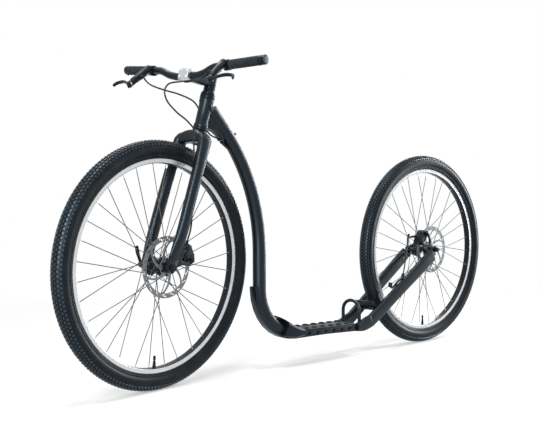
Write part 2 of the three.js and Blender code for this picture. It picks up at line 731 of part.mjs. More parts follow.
const BORE = BAR_RADIUS + 0.7;
const gripOutline = [
  [BORE, 165.5],
  [13.2, 165.5],
  [GRIP_RADIUS, 171],
  [GRIP_RADIUS, 268],
  [BORE, 268],
];
const grip = alongBar(gripOutline, 10);
const lockRing = alongBar([[BORE, 268.4], [15, 268.4], [15, 282], [BORE, 282]], 10);
const endPlug = alongBar([[0, 286.4], [13.6, 286.4], [13.6, 288.2], [11, 289.2], [0, 289.2]], 12, false);
add("left_grip", grip, "grip", steering);
add("right_grip", mirroredLeft(grip), "grip", steering);
add("left_lock_ring", lockRing, "anodised", steering);
add("right_lock_ring", mirroredLeft(lockRing), "anodised", steering);
add("left_end_plug", endPlug, "plug", steering);
add("right_end_plug", mirroredLeft(endPlug), "plug", steering);

// Brake levers: body with clamp, cylinder and pivot fork, and a hooked blade on a pin.

const leverRoot = onBar(154);
const leverPivot = point(163, 168, 516);
const leverAxis = barDirection.clone().cross(leverPivot.clone().sub(leverRoot)).normalize();
const nearPivot = (a) => leverPivot.clone().addScaledVector(leverAxis, a);
const hoseOutlet = point(146, 136, 546);
const clampRing = alongBar([[12, 149], [15.6, 149], [15.6, 161], [12, 161]], 8);
const cylinderStart = point(111, 154, 590);
const cylinderEnd = point(157, 165, 527);
const leverCylinder = rod(cylinderStart, cylinderEnd, 10.5, 8, 9);
const leverCheeks = [-8.4, 5.3].map((a) => rod(nearPivot(a), nearPivot(a + 3.1), 7, 6));
const leverLinks = [-7.4, 7.4].map((a) => {
  const start = cylinderEnd.clone().addScaledVector(leverAxis, a);
  return rod(start.add(point(-4, -1, 5)), nearPivot(a), 1.5, 4);
});
const leverPin = rod(nearPivot(-8), nearPivot(8), 2.5, 5);
const outlet = rod(point(140, 158, 553), hoseOutlet, 4.5, 5);
const barRoom = alongBar([[0, 130], [12.3, 130], [12.3, 175], [0, 175]], 8, false);
const leverBody = cut(
  join(clampRing, leverCylinder, ...leverCheeks, ...leverLinks, leverPin, outlet),
  barRoom,
);
add("left_lever_body", leverBody, "anodised", steering);
add("right_lever_body", mirroredLeft(leverBody), "anodised", steering);

const bladeStations = [
  { at: point(161.5, 173, 518), half: 4.6, thick: 4.5 },
  { at: point(157, 190, 526), half: 4.4, thick: 3.6 },
  { at: point(152, 212, 532), half: 5.2, thick: 3.2 },
  { at: point(150, 234, 531), half: 5.2, thick: 3.2 },
  { at: point(152, 244, 527), half: 5, thick: 3.4 },
  { at: point(157, 248, 518), half: 4.4, thick: 3 },
];
const bladeLoft = loft(
  bladeStations.map((station, i, all) => {
    const before = all[Math.max(i - 1, 0)].at;
    const after = all[Math.min(i + 1, all.length - 1)].at;
    const along = after.clone().sub(before).normalize();
    const wide = leverAxis.clone().addScaledVector(along, -leverAxis.dot(along)).normalize();
    return oval(station.at, wide, along.clone().cross(wide), station.half, station.thick, 6);
  }),
);
const bladeEye = rod(nearPivot(-4.9), nearPivot(4.9), 6.8, 7);
const bladeBore = rod(nearPivot(-6), nearPivot(6), 3.2, 6);
const cheekRoom = [-20, 5].map((a) => rod(nearPivot(a), nearPivot(a + 15), 12, 8));
const blade = largest(cut(join(bladeLoft, bladeEye), bladeBore, ...cheekRoom));
add("left_brake_blade", blade, "anodised", steering);
add("right_brake_blade", mirroredLeft(blade), "anodised", steering);

// Wheels, each about the Y axis of its own group.

const RIM_SEGMENTS = 28;
const TYRE_SEGMENTS = 28;
const VALVE_TIP_RADIUS = 264;

const mirrorProfile = (half) => [...half, ...half.toReversed().map(([r, y]) => [r, -y])];

function tyreSolid() {
  const crown = WHEEL_RADIUS - TYRE_HALF_WIDTH;
  const arc = [-22, 20, 58].map((angle) => [
    crown + TYRE_HALF_WIDTH * sine(angle),
    TYRE_HALF_WIDTH * cosine(angle),
  ]);
  const outside = [[314.5, 9], ...arc];
  const inside = [[314.5, 7], [338, 21.5], [355, 12]];
  const profile = [
    ...outside,
    [WHEEL_RADIUS, 0],
    ...outside.toReversed().map(([r, y]) => [r, -y]),
    ...inside.map(([r, y]) => [r, -y]),
    ...inside.toReversed(),
  ];
  return wheelTurned(profile, TYRE_SEGMENTS);
}

function innerTubeSolid() {
  const body = wheelTurned(mirrorProfile([[317.5, 5], [346, 13]]), 16);
  const valve = rod(point(0, 0, -322), point(0, 0, -VALVE_TIP_RADIUS), 3, 6);
  return join(body, valve);
}

function rimSolid() {
  const half = [[291, 6], [299, 13], [317, 14], [310.5, 11.4]];
  const valveHole = rod(point(0, 0, -285), point(0, 0, -320), 4.2, 6);
  return cut(wheelTurned(mirrorProfile(half), RIM_SEGMENTS), valveHole);
}

// Hub with its laced spokes. Half the spokes lead and half trail on each flange, and each pair
// that crosses near the hub leaves one flat of the flange's edge.
function hubSolid(hub) {
  const perFlange = SPOKE_COUNT / 2;
  const pitch = 360 / perFlange;
  const flanges = [-1, 1].map((side) => {
    const y = side > 0 ? hub.leftFlange : hub.rightFlange;
    const outline = [[11, y - 2.8], [29, y - 2.8], [29, y + 2.8], [11, y + 2.8]];
    const turn = new THREE.Matrix4().makeRotationY(radians((side * pitch) / 4));
    return wheelTurned(outline, perFlange).transform(turn.elements);
  });
  const barrel = wheelTurned(
    [
      [6.2, hub.right],
      [13, hub.right],
      [13, hub.leftFlange],
      [22, hub.leftFlange],
      [22, hub.rotor - ROTOR_THICKNESS / 2 - GAP],
      [15.5, hub.rotor - ROTOR_THICKNESS / 2 - GAP],
      [15.5, hub.left],
      [6.2, hub.left],
    ],
    10,
  );
  const spokes = counted(SPOKE_COUNT, (i) => {
    const side = i % 2 ? 1 : -1;
    const turn = Math.floor(i / 2);
    const leads = turn % 2 ? 1 : -1;
    const flange = side > 0 ? hub.leftFlange : hub.rightFlange;
    const hubAngle = (turn + (side > 0 ? 0.75 : 0.25)) * pitch;
    const rimAngle = hubAngle + leads * SPOKE_CROSSES * pitch;
    const startAcross = flange + leads * 1.3 + side * 0.3;
    const start = point(26 * cosine(hubAngle), startAcross, 26 * sine(hubAngle));
    const end = point(288.8 * cosine(rimAngle), side * 3 + leads * 1.3, 288.8 * sine(rimAngle));
    return rod(start, end, 1.2, 3);
  });
  return join(barrel, ...flanges, ...spokes);
}

// Rotor: a slotted brake ring on six swept arms.
function rotorSolid(middle) {
  const ringInner = ROTOR_RADIUS - 14;
  const sweepAngle = (radius) => ((radius - 24) / (ringInner - 24)) * 38;
  const armEdge = (radius, arm, side) => {
    const halfWidth = blend(5.5, 3.5, (radius - 24) / (ringInner - 24));
    const spread = (side * halfWidth * 180) / (Math.PI * radius);
    return polar(arm * 60 + sweepAngle(radius) + spread, radius);
  };
  const windows = counted(6, (arm) => [
    ...[26, 50, ringInner].map((radius) => armEdge(radius, arm, 1)),
    polar(arm * 60 + 38 + 20, ringInner),
    polar(arm * 60 + 38 + 40, ringInner),
    ...[ringInner, 50, 26].map((radius) => armEdge(radius, arm + 1, -1)),
  ]);
  const vents = counted(9, (i) => {
    const angle = i * 40 + 8;
    return [
      polar(angle, 79, -1.6),
      polar(angle, 79, 1.8),
      polar(angle + 3, 87, 1.6),
      polar(angle + 3, 87, -1.8),
    ];
  });
  const start = middle - ROTOR_THICKNESS / 2;
  const holes = [circle(17, 10), ...windows, ...vents];
  return sidePlate(circle(ROTOR_RADIUS, 32), start, start + ROTOR_THICKNESS, holes);
}

const HUB_INSET = 6;
const frontHub = {
  right: HUB_INSET - FRONT_DROPOUT_INNER,
  rightFlange: -32,
  leftFlange: 18.5,
  rotor: FRONT_DROPOUT_INNER - ROTOR_INSET,
  left: FRONT_DROPOUT_INNER - HUB_INSET,
};
const rearHub = {
  right: HUB_INSET - REAR_DROPOUT_INNER,
  rightFlange: -35,
  leftFlange: 22,
  rotor: REAR_DROPOUT_INNER - ROTOR_INSET,
  left: REAR_DROPOUT_INNER - HUB_INSET,
};

const wheels = [["front", frontWheel, frontHub], ["rear", rearWheel, rearHub]];
for (const [name, group, hub] of wheels) {
  add(`${name}_tyre`, tyreSolid(), "tyre", group);
  add(`${name}_inner_tube`, innerTubeSolid(), "butyl", group);
  add(`${name}_rim`, rimSolid(), "anodised", group);
  add(`${name}_hub_and_spokes`, hubSolid(hub), "spoke", group);
  add(`${name}_rotor`, rotorSolid(hub.rotor), "steel", group);
}

// Axles with their locknuts, nut and cam housing, and the quick-release levers.

function axleSolid(inner, outer, hubEnd) {
  const profile = [
    [0, -outer - 8],
    [9, -outer - 8],
    [9, -outer - GAP],
    [4.6, -outer - GAP],
    [4.6, GAP - inner],
    [10, GAP - inner],
    [10, -hubEnd - 0.6],
    [5, -hubEnd - 0.6],
    [5, hubEnd + 0.6],
    [10, hubEnd + 0.6],
    [10, inner - GAP],
    [4.6, inner - GAP],
    [4.6, outer + GAP],
    [9, outer + GAP],
    [7.5, outer + 13],
    [0, outer + 13],
  ];
  const points = profile.map(([r, y]) => new THREE.Vector2(r, y));
  return solidOf(new THREE.LatheGeometry(points, 8));
}

// The lever lies along a direction in the wheel's plane and swings out about its cam.
function quickRelease(outer, angle) {
  const side = -outer - 16.6;
  const along = point(cosine(angle), 0, sine(angle));
  const across = point(-sine(angle), 0, cosine(angle));
  const at = (a, y) => point(a * along.x, y, a * along.z);
  const cam = rod(
    at(0, side).addScaledVector(across, -6.5),
    at(0, side).addScaledVector(across, 6.5),
    8,
    10,
  );
  const stations = [
    { a: 2, y: side, half: 5, thick: 4 },
    { a: 20, y: side - 2, half: 5.5, thick: 2.8 },
    { a: 40, y: side - 3, half: 7, thick: 2.4 },
    { a: 58, y: side - 1, half: 5, thick: 2 },
  ];
  const arm = loft(
    stations.map((s) => oval(at(s.a, s.y), across, point(0, 1, 0), s.half, s.thick, 6)),
  );
  return join(cam, arm);
}

const frontAxleGroup = new THREE.Group();
frontAxleGroup.position.x = FORK_RAKE;
steering.add(frontAxleGroup);
const rearAxleGroup = new THREE.Group();
rearAxleGroup.position.copy(rearAxle);
kickBike.add(rearAxleGroup);
add("front_axle", axleSolid(FORK_END.inner, FORK_END.outer, frontHub.left), "anodised", frontAxleGroup);
add("rear_axle", axleSolid(dropoutInner, dropoutOuter, rearHub.left), "anodised", rearAxleGroup);
add("front_qr_lever", quickRelease(FORK_END.outer, 56), "anodised", frontAxleGroup);
add("rear_qr_lever", quickRelease(dropoutOuter, 100), "anodised", rearAxleGroup);

// Brake calipers straddle the rotor, with a sliding pad on each side of it.

const CALIPER_HALF = 14;
const PAD_THICKNESS = 3.2;
const PAD_CLEARANCE = 0.6;

function caliperSolid(angle, rotor, portFrom, portTo) {
  const outline = [
    polar(angle, 66, -22),
    polar(angle, 74, -30),
    polar(angle, 96, -27),
    polar(angle, 101, -12),
    polar(angle, 101, 12),
    polar(angle, 96, 27),
    polar(angle, 74, 30),
    polar(angle, 66, 22),
  ];
  const half = ROTOR_THICKNESS / 2 + PAD_CLEARANCE + PAD_THICKNESS + GAP;
  const opening = (reach) => [
    polar(angle, 60, -reach),
    polar(angle, 93.5, -reach),
    polar(angle, 93.5, reach),
    polar(angle, 60, reach),
  ];
  const body = sidePlate(outline, rotor - CALIPER_HALF, rotor + CALIPER_HALF - GAP);
  const padRoom = sidePlate(opening(20), rotor - half, rotor + half);
  const discRoom = sidePlate(opening(40), rotor - 2, rotor + 2);
  const port = rod(portFrom, portTo, 4.5, 6);
  return cut(join(body, port), padRoom, discRoom);
}

function padSolid(angle, rotor, side) {
  const outline = [
    polar(angle, 75, -15),
    polar(angle, 91, -15),
    polar(angle, 91, 15),
    polar(angle, 75, 15),
    polar(angle, 71, 8),
    polar(angle, 71, -8),
  ];
  const near = ROTOR_THICKNESS / 2 + PAD_CLEARANCE;
  const far = near + PAD_THICKNESS;
  const middle = rotor + (side * (near + far)) / 2;
  return sidePlate(outline, middle - PAD_THICKNESS / 2, middle + PAD_THICKNESS / 2);
}

const frontHoseEnd = point(-51, frontHub.rotor + 6, 92);
const rearHoseEnd = point(118, rearHub.rotor - 8, 52);
const frontPortRoot = point(-50, frontHub.rotor + 6, 62);
const rearPortRoot = point(78, rearHub.rotor - 8, 54);
const brakes = [
  ["front", frontAxleGroup, FRONT_CALIPER_ANGLE, frontHub.rotor, frontPortRoot, frontHoseEnd],
  ["rear", rearAxleGroup, REAR_CALIPER_ANGLE, rearHub.rotor, rearPortRoot, rearHoseEnd],
];
for (const [name, group, angle, rotor, root, end] of brakes) {
  add(`${name}_caliper`, caliperSolid(angle, rotor, root, end), "anodised", group);
  add(`${name}_outer_pad`, padSolid(angle, rotor, 1), "pad", group);
  add(`${name}_inner_pad`, padSolid(angle, rotor, -1), "pad", group);
}

// Brake hoses

const frontHosePath = through([
  hoseOutlet.clone().add(point(-0.5, -3, -1)),
  point(138, 108, 536),
  point(128, 60, 533),
  point(144, 26, 524),
  point(174, 18, 505),
  point(182, 18, 482),
  point(169, 20, 459),
  point(127, 22, 440),
  point(84, 28, 428),
  point(54, 33, 412),
  point(47.5, 35, 396),
  point(45, 34, 378),
  point(36, 34, 350),
  point(28, 40, 300),
  point(22, 43, 240),
  point(2, 45, 180),
  point(-10, 44, 130),
  point(FORK_RAKE - 51, frontHub.rotor + 6, 92.6),
]);
add("front_hose", sweep(frontHosePath, HOSE_RADIUS, 8, 32), "hose", steering);

const portOnSteering = steering.worldToLocal(portLine(-0.015));
const freeRunPath = through([
  mirrorPoint(hoseOutlet).add(point(-0.5, 3, -1)),
  point(142, -118, 532),
  point(140, -92, 519),
  point(112, -66, 515),
  point(66, -50, 519),
  point(8, -40, 515),
  point(-23, -33, 484),
  point(-43, -24, 452),
  point(-58, -13, 436),
  steering.worldToLocal(portLine(-0.45)),
  portOnSteering,
]);
add("rear_hose_free_run", sweep(freeRunPath, HOSE_RADIUS, 8, 20), "hose", steering);

const rearHosePath = through([
  portLine(0.012),
  portLine(1),
  point(330, 0, 692),
  point(290, 0, 634),
  point(258, 0, 556),
  point(238, 0, 460),
  point(233, 0, 380),
  point(233, 0, 270),
  point(221, 0, 212),
  point(189, 0, 164),
  point(140, 0, 131),
  point(90, 0, 114),
  point(40, 4, 110.5),
  point(-60, 22, 107),
  point(-140, 38, 105),
  point(-186, 43, 105),
  point(-214, 45, 108),
  point(-262, 49.6, 127),
  point(-330, 53, 166),
  point(-390, 56, 207),
  point(-421, 58, 233),
  point(-426.6, 58, 250),
  point(-431.8, 58, 270),
  point(-436, 58, 286),
  point(-447, 57, 325),
  point(-462, 51, 362),
  point(-480, 42, 392),
  point(-500, rearHub.rotor - 8, 411),
  point(rearAxle.x + 118.9, rearHub.rotor - 8, rearAxle.z + 51.9),
]);
add("rear_hose", sweep(rearHosePath, HOSE_RADIUS, 8, 60), "hose");

export default kickBike;
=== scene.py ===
import math

import bmesh
import bpy
from mathutils import Matrix, Vector


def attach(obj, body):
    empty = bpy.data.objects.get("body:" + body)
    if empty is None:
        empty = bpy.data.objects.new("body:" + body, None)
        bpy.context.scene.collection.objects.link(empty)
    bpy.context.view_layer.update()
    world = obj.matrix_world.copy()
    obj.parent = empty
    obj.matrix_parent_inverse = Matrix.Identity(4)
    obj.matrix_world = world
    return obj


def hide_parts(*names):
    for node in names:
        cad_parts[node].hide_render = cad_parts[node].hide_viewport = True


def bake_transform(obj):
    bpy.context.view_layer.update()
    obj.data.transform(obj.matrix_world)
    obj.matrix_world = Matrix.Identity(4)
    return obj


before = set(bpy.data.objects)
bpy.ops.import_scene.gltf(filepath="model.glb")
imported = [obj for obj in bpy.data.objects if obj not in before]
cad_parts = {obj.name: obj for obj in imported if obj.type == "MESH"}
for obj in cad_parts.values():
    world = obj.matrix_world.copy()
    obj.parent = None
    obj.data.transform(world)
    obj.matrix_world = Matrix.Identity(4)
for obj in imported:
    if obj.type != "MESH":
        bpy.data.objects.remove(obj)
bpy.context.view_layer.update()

mm = 0.001  # the values below are in millimetres, the scene is in metres
scene = bpy.context.scene


# places and small helpers

def cosSin(degrees):
    return math.cos(math.radians(degrees)), math.sin(math.radians(degrees))


def spot(x, y, z):
    return Vector((x, y, z)) * mm


def move(x, y, z):
    return Matrix.Translation(spot(x, y, z))


def turn(degrees, axis):
    return Matrix.Rotation(math.radians(degrees), 4, axis)


def facing(direction):
    return direction.to_track_quat("Z", "Y").to_matrix().to_4x4()


def aim(start, end):
    # matrix at start whose Z runs to end, both in millimetres
    return move(*start) @ facing(Vector(end) - Vector(start))


def polar(angle, radius, across=0):
    c, s = cosSin(angle)
    return radius * c - across * s, radius * s + across * c


def tipped(degrees):
    # forward and up, tipped about Y
    c, s = cosSin(degrees)
    return (c, 0, -s), (s, 0, c)


def flipped(rows):
    return [(r, -h) for r, h in rows]


headPlace = move(591.647, 0, 352.639) @ turn(-16.5, "Y")
steerPlace = headPlace @ turn(6.9, "Z")
frontAxlePlace = steerPlace @ move(40, 0, 0)
wheelPlaces = {"front": frontAxlePlace @ turn(14, "Y"), "rear": move(-630, 0, 364)}
rest = Matrix.Identity(4)
acrossWheel = turn(-90, "X")  # a spun profile's Z becomes the wheel's Y
mirrored = Matrix.Diagonal((1, -1, 1, 1))

# homes: a body and the place its pieces are drawn at
onFrame, atHead, onSteering = ("frame", rest), ("frame", headPlace), ("steering", steerPlace)
steeringSides = {"left": onSteering, "right": ("steering", steerPlace @ mirrored)}
axleHomes = {"front": ("steering", frontAxlePlace), "rear": ("frame", wheelPlaces["rear"])}


# mesh helpers, all on bmesh operators

def outward(bm):
    bmesh.ops.recalc_face_normals(bm, faces=bm.faces)
    return bm


def spun(profile, steps=48, closed=False):
    # profile: radius and height pairs about Z
    bm = bmesh.new()
    verts = [bm.verts.new((r * mm, 0, h * mm)) for r, h in profile]
    edges = [bm.edges.new(pair) for pair in zip(verts, verts[1:])]
    if closed:
        edges.append(bm.edges.new((verts[-1], verts[0])))
    bmesh.ops.spin(bm, geom=verts + edges, cent=(0, 0, 0), axis=(0, 0, 1),
                   angle=2 * math.pi, steps=steps, use_merge=True)
    bmesh.ops.remove_doubles(bm, verts=bm.verts, dist=1e-6)
    return outward(bm)


def spunAcross(profile, steps, closed=True):
    bm = spun(profile, steps, closed)
    bm.transform(acrossWheel)
    return bm


def soften(bm, width, segments=2, limit=28):
    edges = [e for e in bm.edges if len(e.link_faces) == 2 and e.calc_face_angle(0) > math.radians(limit)]
    if edges:
        bmesh.ops.bevel(bm, geom=edges, offset=width * mm, offset_type="OFFSET", segments=segments,
                        profile=0.5, affect="EDGES", clamp_overlap=True, material=-1)
    return bm


def section(centre, across, up, halfAcross, halfUp):
    # matrix that lays a unit ring at centre, in millimetres
    across, up = Vector(across).normalized(), Vector(up).normalized()
    normal = across.cross(up).normalized()
    columns = [across * halfAcross * mm, up * halfUp * mm, normal * mm, spot(*centre)]
    return Matrix([list(c) + [0] for c in columns[:3]] + [list(columns[3]) + [1]]).transposed()


def swept(rows, wideAxis):
    # sections square to the path of rows of x, y, z, half width and half height
    sections = []
    for i, row in enumerate(rows):
        before, after = rows[max(i - 1, 0)], rows[min(i + 1, len(rows) - 1)]
        along = (Vector(after[:3]) - Vector(before[:3])).normalized()
        wide = (wideAxis - along * wideAxis.dot(along)).normalized()
        sections.append(section(row[:3], wide, along.cross(wide), *row[3:]))
    return sections


def lofted(sections, sides=24, fullness=1.0):
    # one ring, squared by a fullness under 1, extruded through the sections
    bm = bmesh.new()
    bmesh.ops.create_circle(bm, cap_ends=True, segments=sides, radius=1)
    for vert in bm.verts:
        vert.co.x = math.copysign(abs(vert.co.x) ** fullness, vert.co.x)
        vert.co.y = math.copysign(abs(vert.co.y) ** fullness, vert.co.y)
    bmesh.ops.transform(bm, matrix=sections[0], verts=bm.verts)
    bm.faces.ensure_lookup_table()
    face = bm.faces[0]
    for before, after in zip(sections, sections[1:]):
        grown = bmesh.ops.extrude_face_region(bm, geom=[face])["geom"]
        face = next(g for g in grown if isinstance(g, bmesh.types.BMFace))
        bmesh.ops.transform(bm, matrix=after @ before.inverted(), verts=face.verts)
    return outward(bm)


def plate(outline, low, high, edge=0.7, segments=2):
    # outline in X and Z, thickness along Y
    bm = bmesh.new()
    face = bm.faces.new([bm.verts.new(spot(a, low, b)) for a, b in outline])
    grown = bmesh.ops.extrude_face_region(bm, geom=[face])["geom"]
    bmesh.ops.translate(bm, vec=spot(0, high - low, 0),
                        verts=[g for g in grown if isinstance(g, bmesh.types.BMVert)])
    outward(bm)
    return soften(bm, edge, segments) if edge else bm


def rod(start, end, radius, endRadius=None, sides=24, edge=0.0):
    endRadius = radius if endRadius is None else endRadius
    length = (Vector(end) - Vector(start)).length
    bm = bmesh.new()
    bmesh.ops.create_cone(bm, cap_ends=True, segments=sides, radius1=radius * mm, radius2=endRadius * mm,
                          depth=length * mm, matrix=aim(start, end) @ move(0, 0, length / 2))
    return soften(bm, edge, 2, 40) if edge else bm


def socketBolt(start, end, radius):
    # cap screw whose head stands from start to end
    height = (Vector(end) - Vector(start)).length
    r, s = radius, radius * 0.55
    bm = spun([(0, height * 0.4), (s, height * 0.4), (s, height), (r - 0.4, height), (r, height - 0.4),
               (r, 0)], 20)
    bm.transform(aim(start, end))
    return bm


def join(*parts):
    whole = parts[0]
    for part in parts[1:]:
        mesh = bpy.data.meshes.new("part")
        part.to_mesh(mesh)
        part.free()
        whole.from_mesh(mesh)
        bpy.data.meshes.remove(mesh)
    return whole


def eased(rows, steps):
    # Catmull-Rom between rows of equally many numbers
    out = []
    for i in range(len(rows) - 1):
        a, b, c, d = (rows[min(max(i + k, 0), len(rows) - 1)] for k in (-1, 0, 1, 2))
        for s in range(steps):
            t = s / steps
            out.append([0.5 * (2 * q + (r - p) * t + (2 * p - 5 * q + 4 * r - w) * t * t
                               + (3 * q - p - 3 * r + w) * t ** 3) for p, q, r, w in zip(a, b, c, d)])
    return out + [list(rows[-1])]


def route(points, steps):
    # centripetal Catmull-Rom through the points
    p = [Vector(q) for q in points]
    p = [2 * p[0] - p[1]] + p + [2 * p[-1] - p[-2]]
    out = []
    for i in range(1, len(p) - 2):
        k = [0.0]
        for a, b in zip(p[i - 1:i + 2], p[i:i + 3]):
            k.append(k[-1] + max((b - a).length, 1e-4) ** 0.5)
        for s in range(steps):
            t = k[1] + (k[2] - k[1]) * s / steps
            a = [p[i - 1 + j].lerp(p[i + j], (t - k[j]) / (k[j + 1] - k[j])) for j in range(3)]
            b = [a[j].lerp(a[j + 1], (t - k[j]) / (k[j + 2] - k[j])) for j in range(2)]
            out.append(b[0].lerp(b[1], (t - k[1]) / (k[2] - k[1])))
    return out + [p[-2]]


def linked(name, data):
    item = bpy.data.objects.new(name, data)
    scene.collection.objects.link(item)
    return item


def tubeMesh(points, radius, resolution, place=rest, closed=False):
    curve = bpy.data.curves.new("tube", "CURVE")
    curve.dimensions = "3D"
    curve.bevel_depth = radius * mm
    curve.bevel_resolution = resolution
    curve.use_fill_caps = not closed
    spline = curve.splines.new("POLY")
    spline.points.add(len(points) - 1)
    spline.use_cyclic_u = closed
    for node, p in zip(spline.points, points):
        node.co = (place @ (Vector(p) * mm)).to_4d()
    holder = linked("tube", curve)
    bpy.context.view_layer.update()
    mesh = bpy.data.meshes.new_from_object(holder)
    bpy.data.objects.remove(holder)
    bpy.data.curves.remove(curve)
    bm = bmesh.new()
    bm.from_mesh(mesh)
    bpy.data.meshes.remove(mesh)
    bmesh.ops.remove_doubles(bm, verts=bm.verts, dist=1e-6)
    return outward(bm)


copyLimits = {"weld": 2e-5, "flat": 1.2, "sharp": 24}


def copied(node, width, segments=2):
    # the CAD solid's faces merged in a copy, with its sharp edges rounded
    bm = bmesh.new()
    bm.from_mesh(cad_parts[node].data)
    bmesh.ops.remove_doubles(bm, verts=bm.verts, dist=copyLimits["weld"])
    bmesh.ops.dissolve_limit(bm, angle_limit=math.radians(copyLimits["flat"]), verts=bm.verts, edges=bm.edges)
    return soften(bm, width, segments, copyLimits["sharp"]) if width else bm


def make(name, bm, finish, home, node="", smooth=38):
    materials, slot = finish
    body, place = home
    bm.transform(place)
    if place.determinant() < 0:
        outward(bm)
    mesh = bpy.data.meshes.new(name)
    bm.to_mesh(mesh)
    bm.free()
    for material in materials if isinstance(materials, list) else [materials]:
        mesh.materials.append(material)
    mesh.shade_smooth()
    mesh.set_sharp_from_angle(angle=math.radians(smooth))
    piece = linked(name, mesh)
    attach(piece, body)
    if node:
        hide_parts(node)
    return piece


def finished(node, bm, finish, home, smooth=38):
    # piece that is named after the one solid it replaces
    make(node + "_finished", bm, finish, home, node, smooth)


# finishes

# painted cool light: every material's reflections are tinted blue
coolTint = (0.64, 0.84, 1.0)


def treeOf(data):
    data.use_nodes = True
    return data.node_tree


def fill(tree, node, inputs):
    # a socket is linked, anything else is a constant
    for key, value in inputs.items():
        socket = node.inputs[key]
        if isinstance(value, bpy.types.NodeSocket):
            tree.links.new(value, socket)
        else:
            socket.default_value = (*value, 1) if socket.type == "RGBA" else value


def add(tree, kind, inputs):
    node = tree.nodes.new("ShaderNode" + kind)
    fill(tree, node, inputs)
    return node


def shaderGraph(name, color, metallic, roughness, specular):
    material = bpy.data.materials.new(name)
    tree = treeOf(material)
    shader = tree.nodes["Principled BSDF"]
    fill(tree, shader, {"Base Color": color, "Metallic": metallic, "Roughness": roughness,
                        "Specular IOR Level": specular, "Specular Tint": coolTint})
    return material, tree, shader, tree.nodes.new("ShaderNodeTexCoord").outputs["Object"]


def placed(tree, vector, scale, turned=(0, 0, 0), centre=(0, 0, 0)):
    mapping = tree.nodes.new("ShaderNodeMapping")
    mapping.vector_type = "TEXTURE"
    fill(tree, mapping, {"Vector": vector, "Location": centre, "Rotation": turned, "Scale": scale})
    return mapping.outputs["Vector"]


def noise(tree, vector, scale, detail=3.0, rough=0.55):
    inputs = {"Vector": vector, "Scale": scale, "Detail": detail, "Roughness": rough}
    return add(tree, "TexNoise", inputs).outputs["Fac"]


def ramp(tree, value, low, dark, high, light):
    node = add(tree, "ValToRGB", {"Fac": value})
    for element, position, color in zip(node.color_ramp.elements, (low, high), (dark, light)):
        element.position, element.color = position, (*color, 1)
    return node.outputs["Color"]


def ranged(tree, value, low, high, fromLow=0.3, fromHigh=0.7):
    inputs = {"Value": value, "From Min": fromLow, "From Max": fromHigh, "To Min": low, "To Max": high}
    return add(tree, "MapRange", inputs).outputs["Result"]


def mixed(tree, factor, first, second):
    node = tree.nodes.new("ShaderNodeMix")
    node.data_type = "RGBA"
    colors = [i for i, socket in enumerate(node.inputs) if socket.type == "RGBA"]
    fill(tree, node, {"Factor": factor, colors[0]: first, colors[1]: second})
    return next(s for s in node.outputs if s.type == "RGBA")


def dressed(tree, shader, color, rough, height, strength, depth):
    bump = add(tree, "Bump", {"Height": height, "Strength": strength, "Distance": depth})
    fill(tree, shader, {"Base Color": color, "Roughness": rough, "Normal": bump.outputs["Normal"]})


paintLook = {"dark": (0.0016, 0.0023, 0.0032), "light": (0.0032, 0.0047, 0.0062), "cloud": 9,
             "dust": (0.030, 0.034, 0.037), "specks": 160, "worn": (0.045, 0.05, 0.055),
             "streak": (0.02, 0.003, 0.02), "rough": (0.30, 0.38), "specular": 0.34, "peel": 1400,
             "peelDepth": 0.00008}


def paint(name, dusty, scuffs=0.0, roughness=paintLook["rough"]):
    # satin black with a fine orange peel, road dust and scuffs where shoes rub
    look = paintLook
    material, tree, shader, place = shaderGraph(name, look["dark"], 0.0, 0.28, look["specular"])
    color = ramp(tree, noise(tree, place, look["cloud"], 4), 0.3, look["dark"], 0.7, look["light"])
    specks = ranged(tree, noise(tree, place, look["specks"], 6, 0.7), 0.0, dusty, 0.48, 0.75)
    color = mixed(tree, specks, color, look["dust"])
    if scuffs:
        streaks = noise(tree, placed(tree, place, look["streak"], (0, 0, 0.4)), 1.0, 4, 0.6)
        color = mixed(tree, ranged(tree, streaks, 0.0, scuffs, 0.55, 0.72), color, look["worn"])
    rough = ranged(tree, noise(tree, place, 45, 5), *roughness)
    dressed(tree, shader, color, rough, noise(tree, place, look["peel"], 1), 0.25, look["peelDepth"])
    return material, "frame_paint"


def metal(name, slot, dark, light, metallic, rough, grain=(0.001, 0.03, 0.001), specular=0.5):
    # metal with a directional grain
    material, tree, shader, place = shaderGraph(name, light, metallic, rough[0], specular)
    lay = noise(tree, placed(tree, place, grain), 1.0)
    blotch = noise(tree, place, 60)
    color = mixed(tree, ranged(tree, blotch, 0, 0.5), ramp(tree, lay, 0.25, dark, 0.75, light), dark)
    dressed(tree, shader, color, ranged(tree, blotch, *rough), lay, 0.3, 0.00002)
    return material, slot


def ringed(name, dark, light, metallic, rough, place, pitch=0.9):
    # turned or ground metal, its marks in circles about a wheel's axle
    material, tree, shader, coords = shaderGraph(name, light, metallic, rough[0], 0.5)
    centred = placed(tree, coords, (1, 1, 1), tuple(place.to_euler()), tuple(place.translation))
    wave = add(tree, "TexWave", {"Vector": centred, "Scale": 0.314 / (pitch * mm), "Distortion": 1.2,
                                 "Detail Scale": 3})
    wave.wave_type, wave.rings_direction = "RINGS", "Y"
    rings = wave.outputs["Fac"]
    blotch = noise(tree, coords, 40, 4)
    color = mixed(tree, ranged(tree, rings, 0, 0.7, 0, 1), light, dark)
    color = mixed(tree, ranged(tree, blotch, 0, 0.35), color, dark)
    dressed(tree, shader, color, ranged(tree, blotch, *rough), rings, 0.25, 0.00003)
    return material


def rubber(name, slot, dark, light, rough, grainScale=900, depth=0.0002, blotchScale=30, specular=0.35):
    material, tree, shader, place = shaderGraph(name, dark, 0.0, rough[0], specular)
    grain = noise(tree, place, grainScale, 2)
    color = ramp(tree, noise(tree, place, blotchScale, 5, 0.6), 0.35, dark, 0.72, light)
    dressed(tree, shader, color, ranged(tree, grain, *rough), grain, 0.4, depth)
    return material, slot


print("stage: finishes")
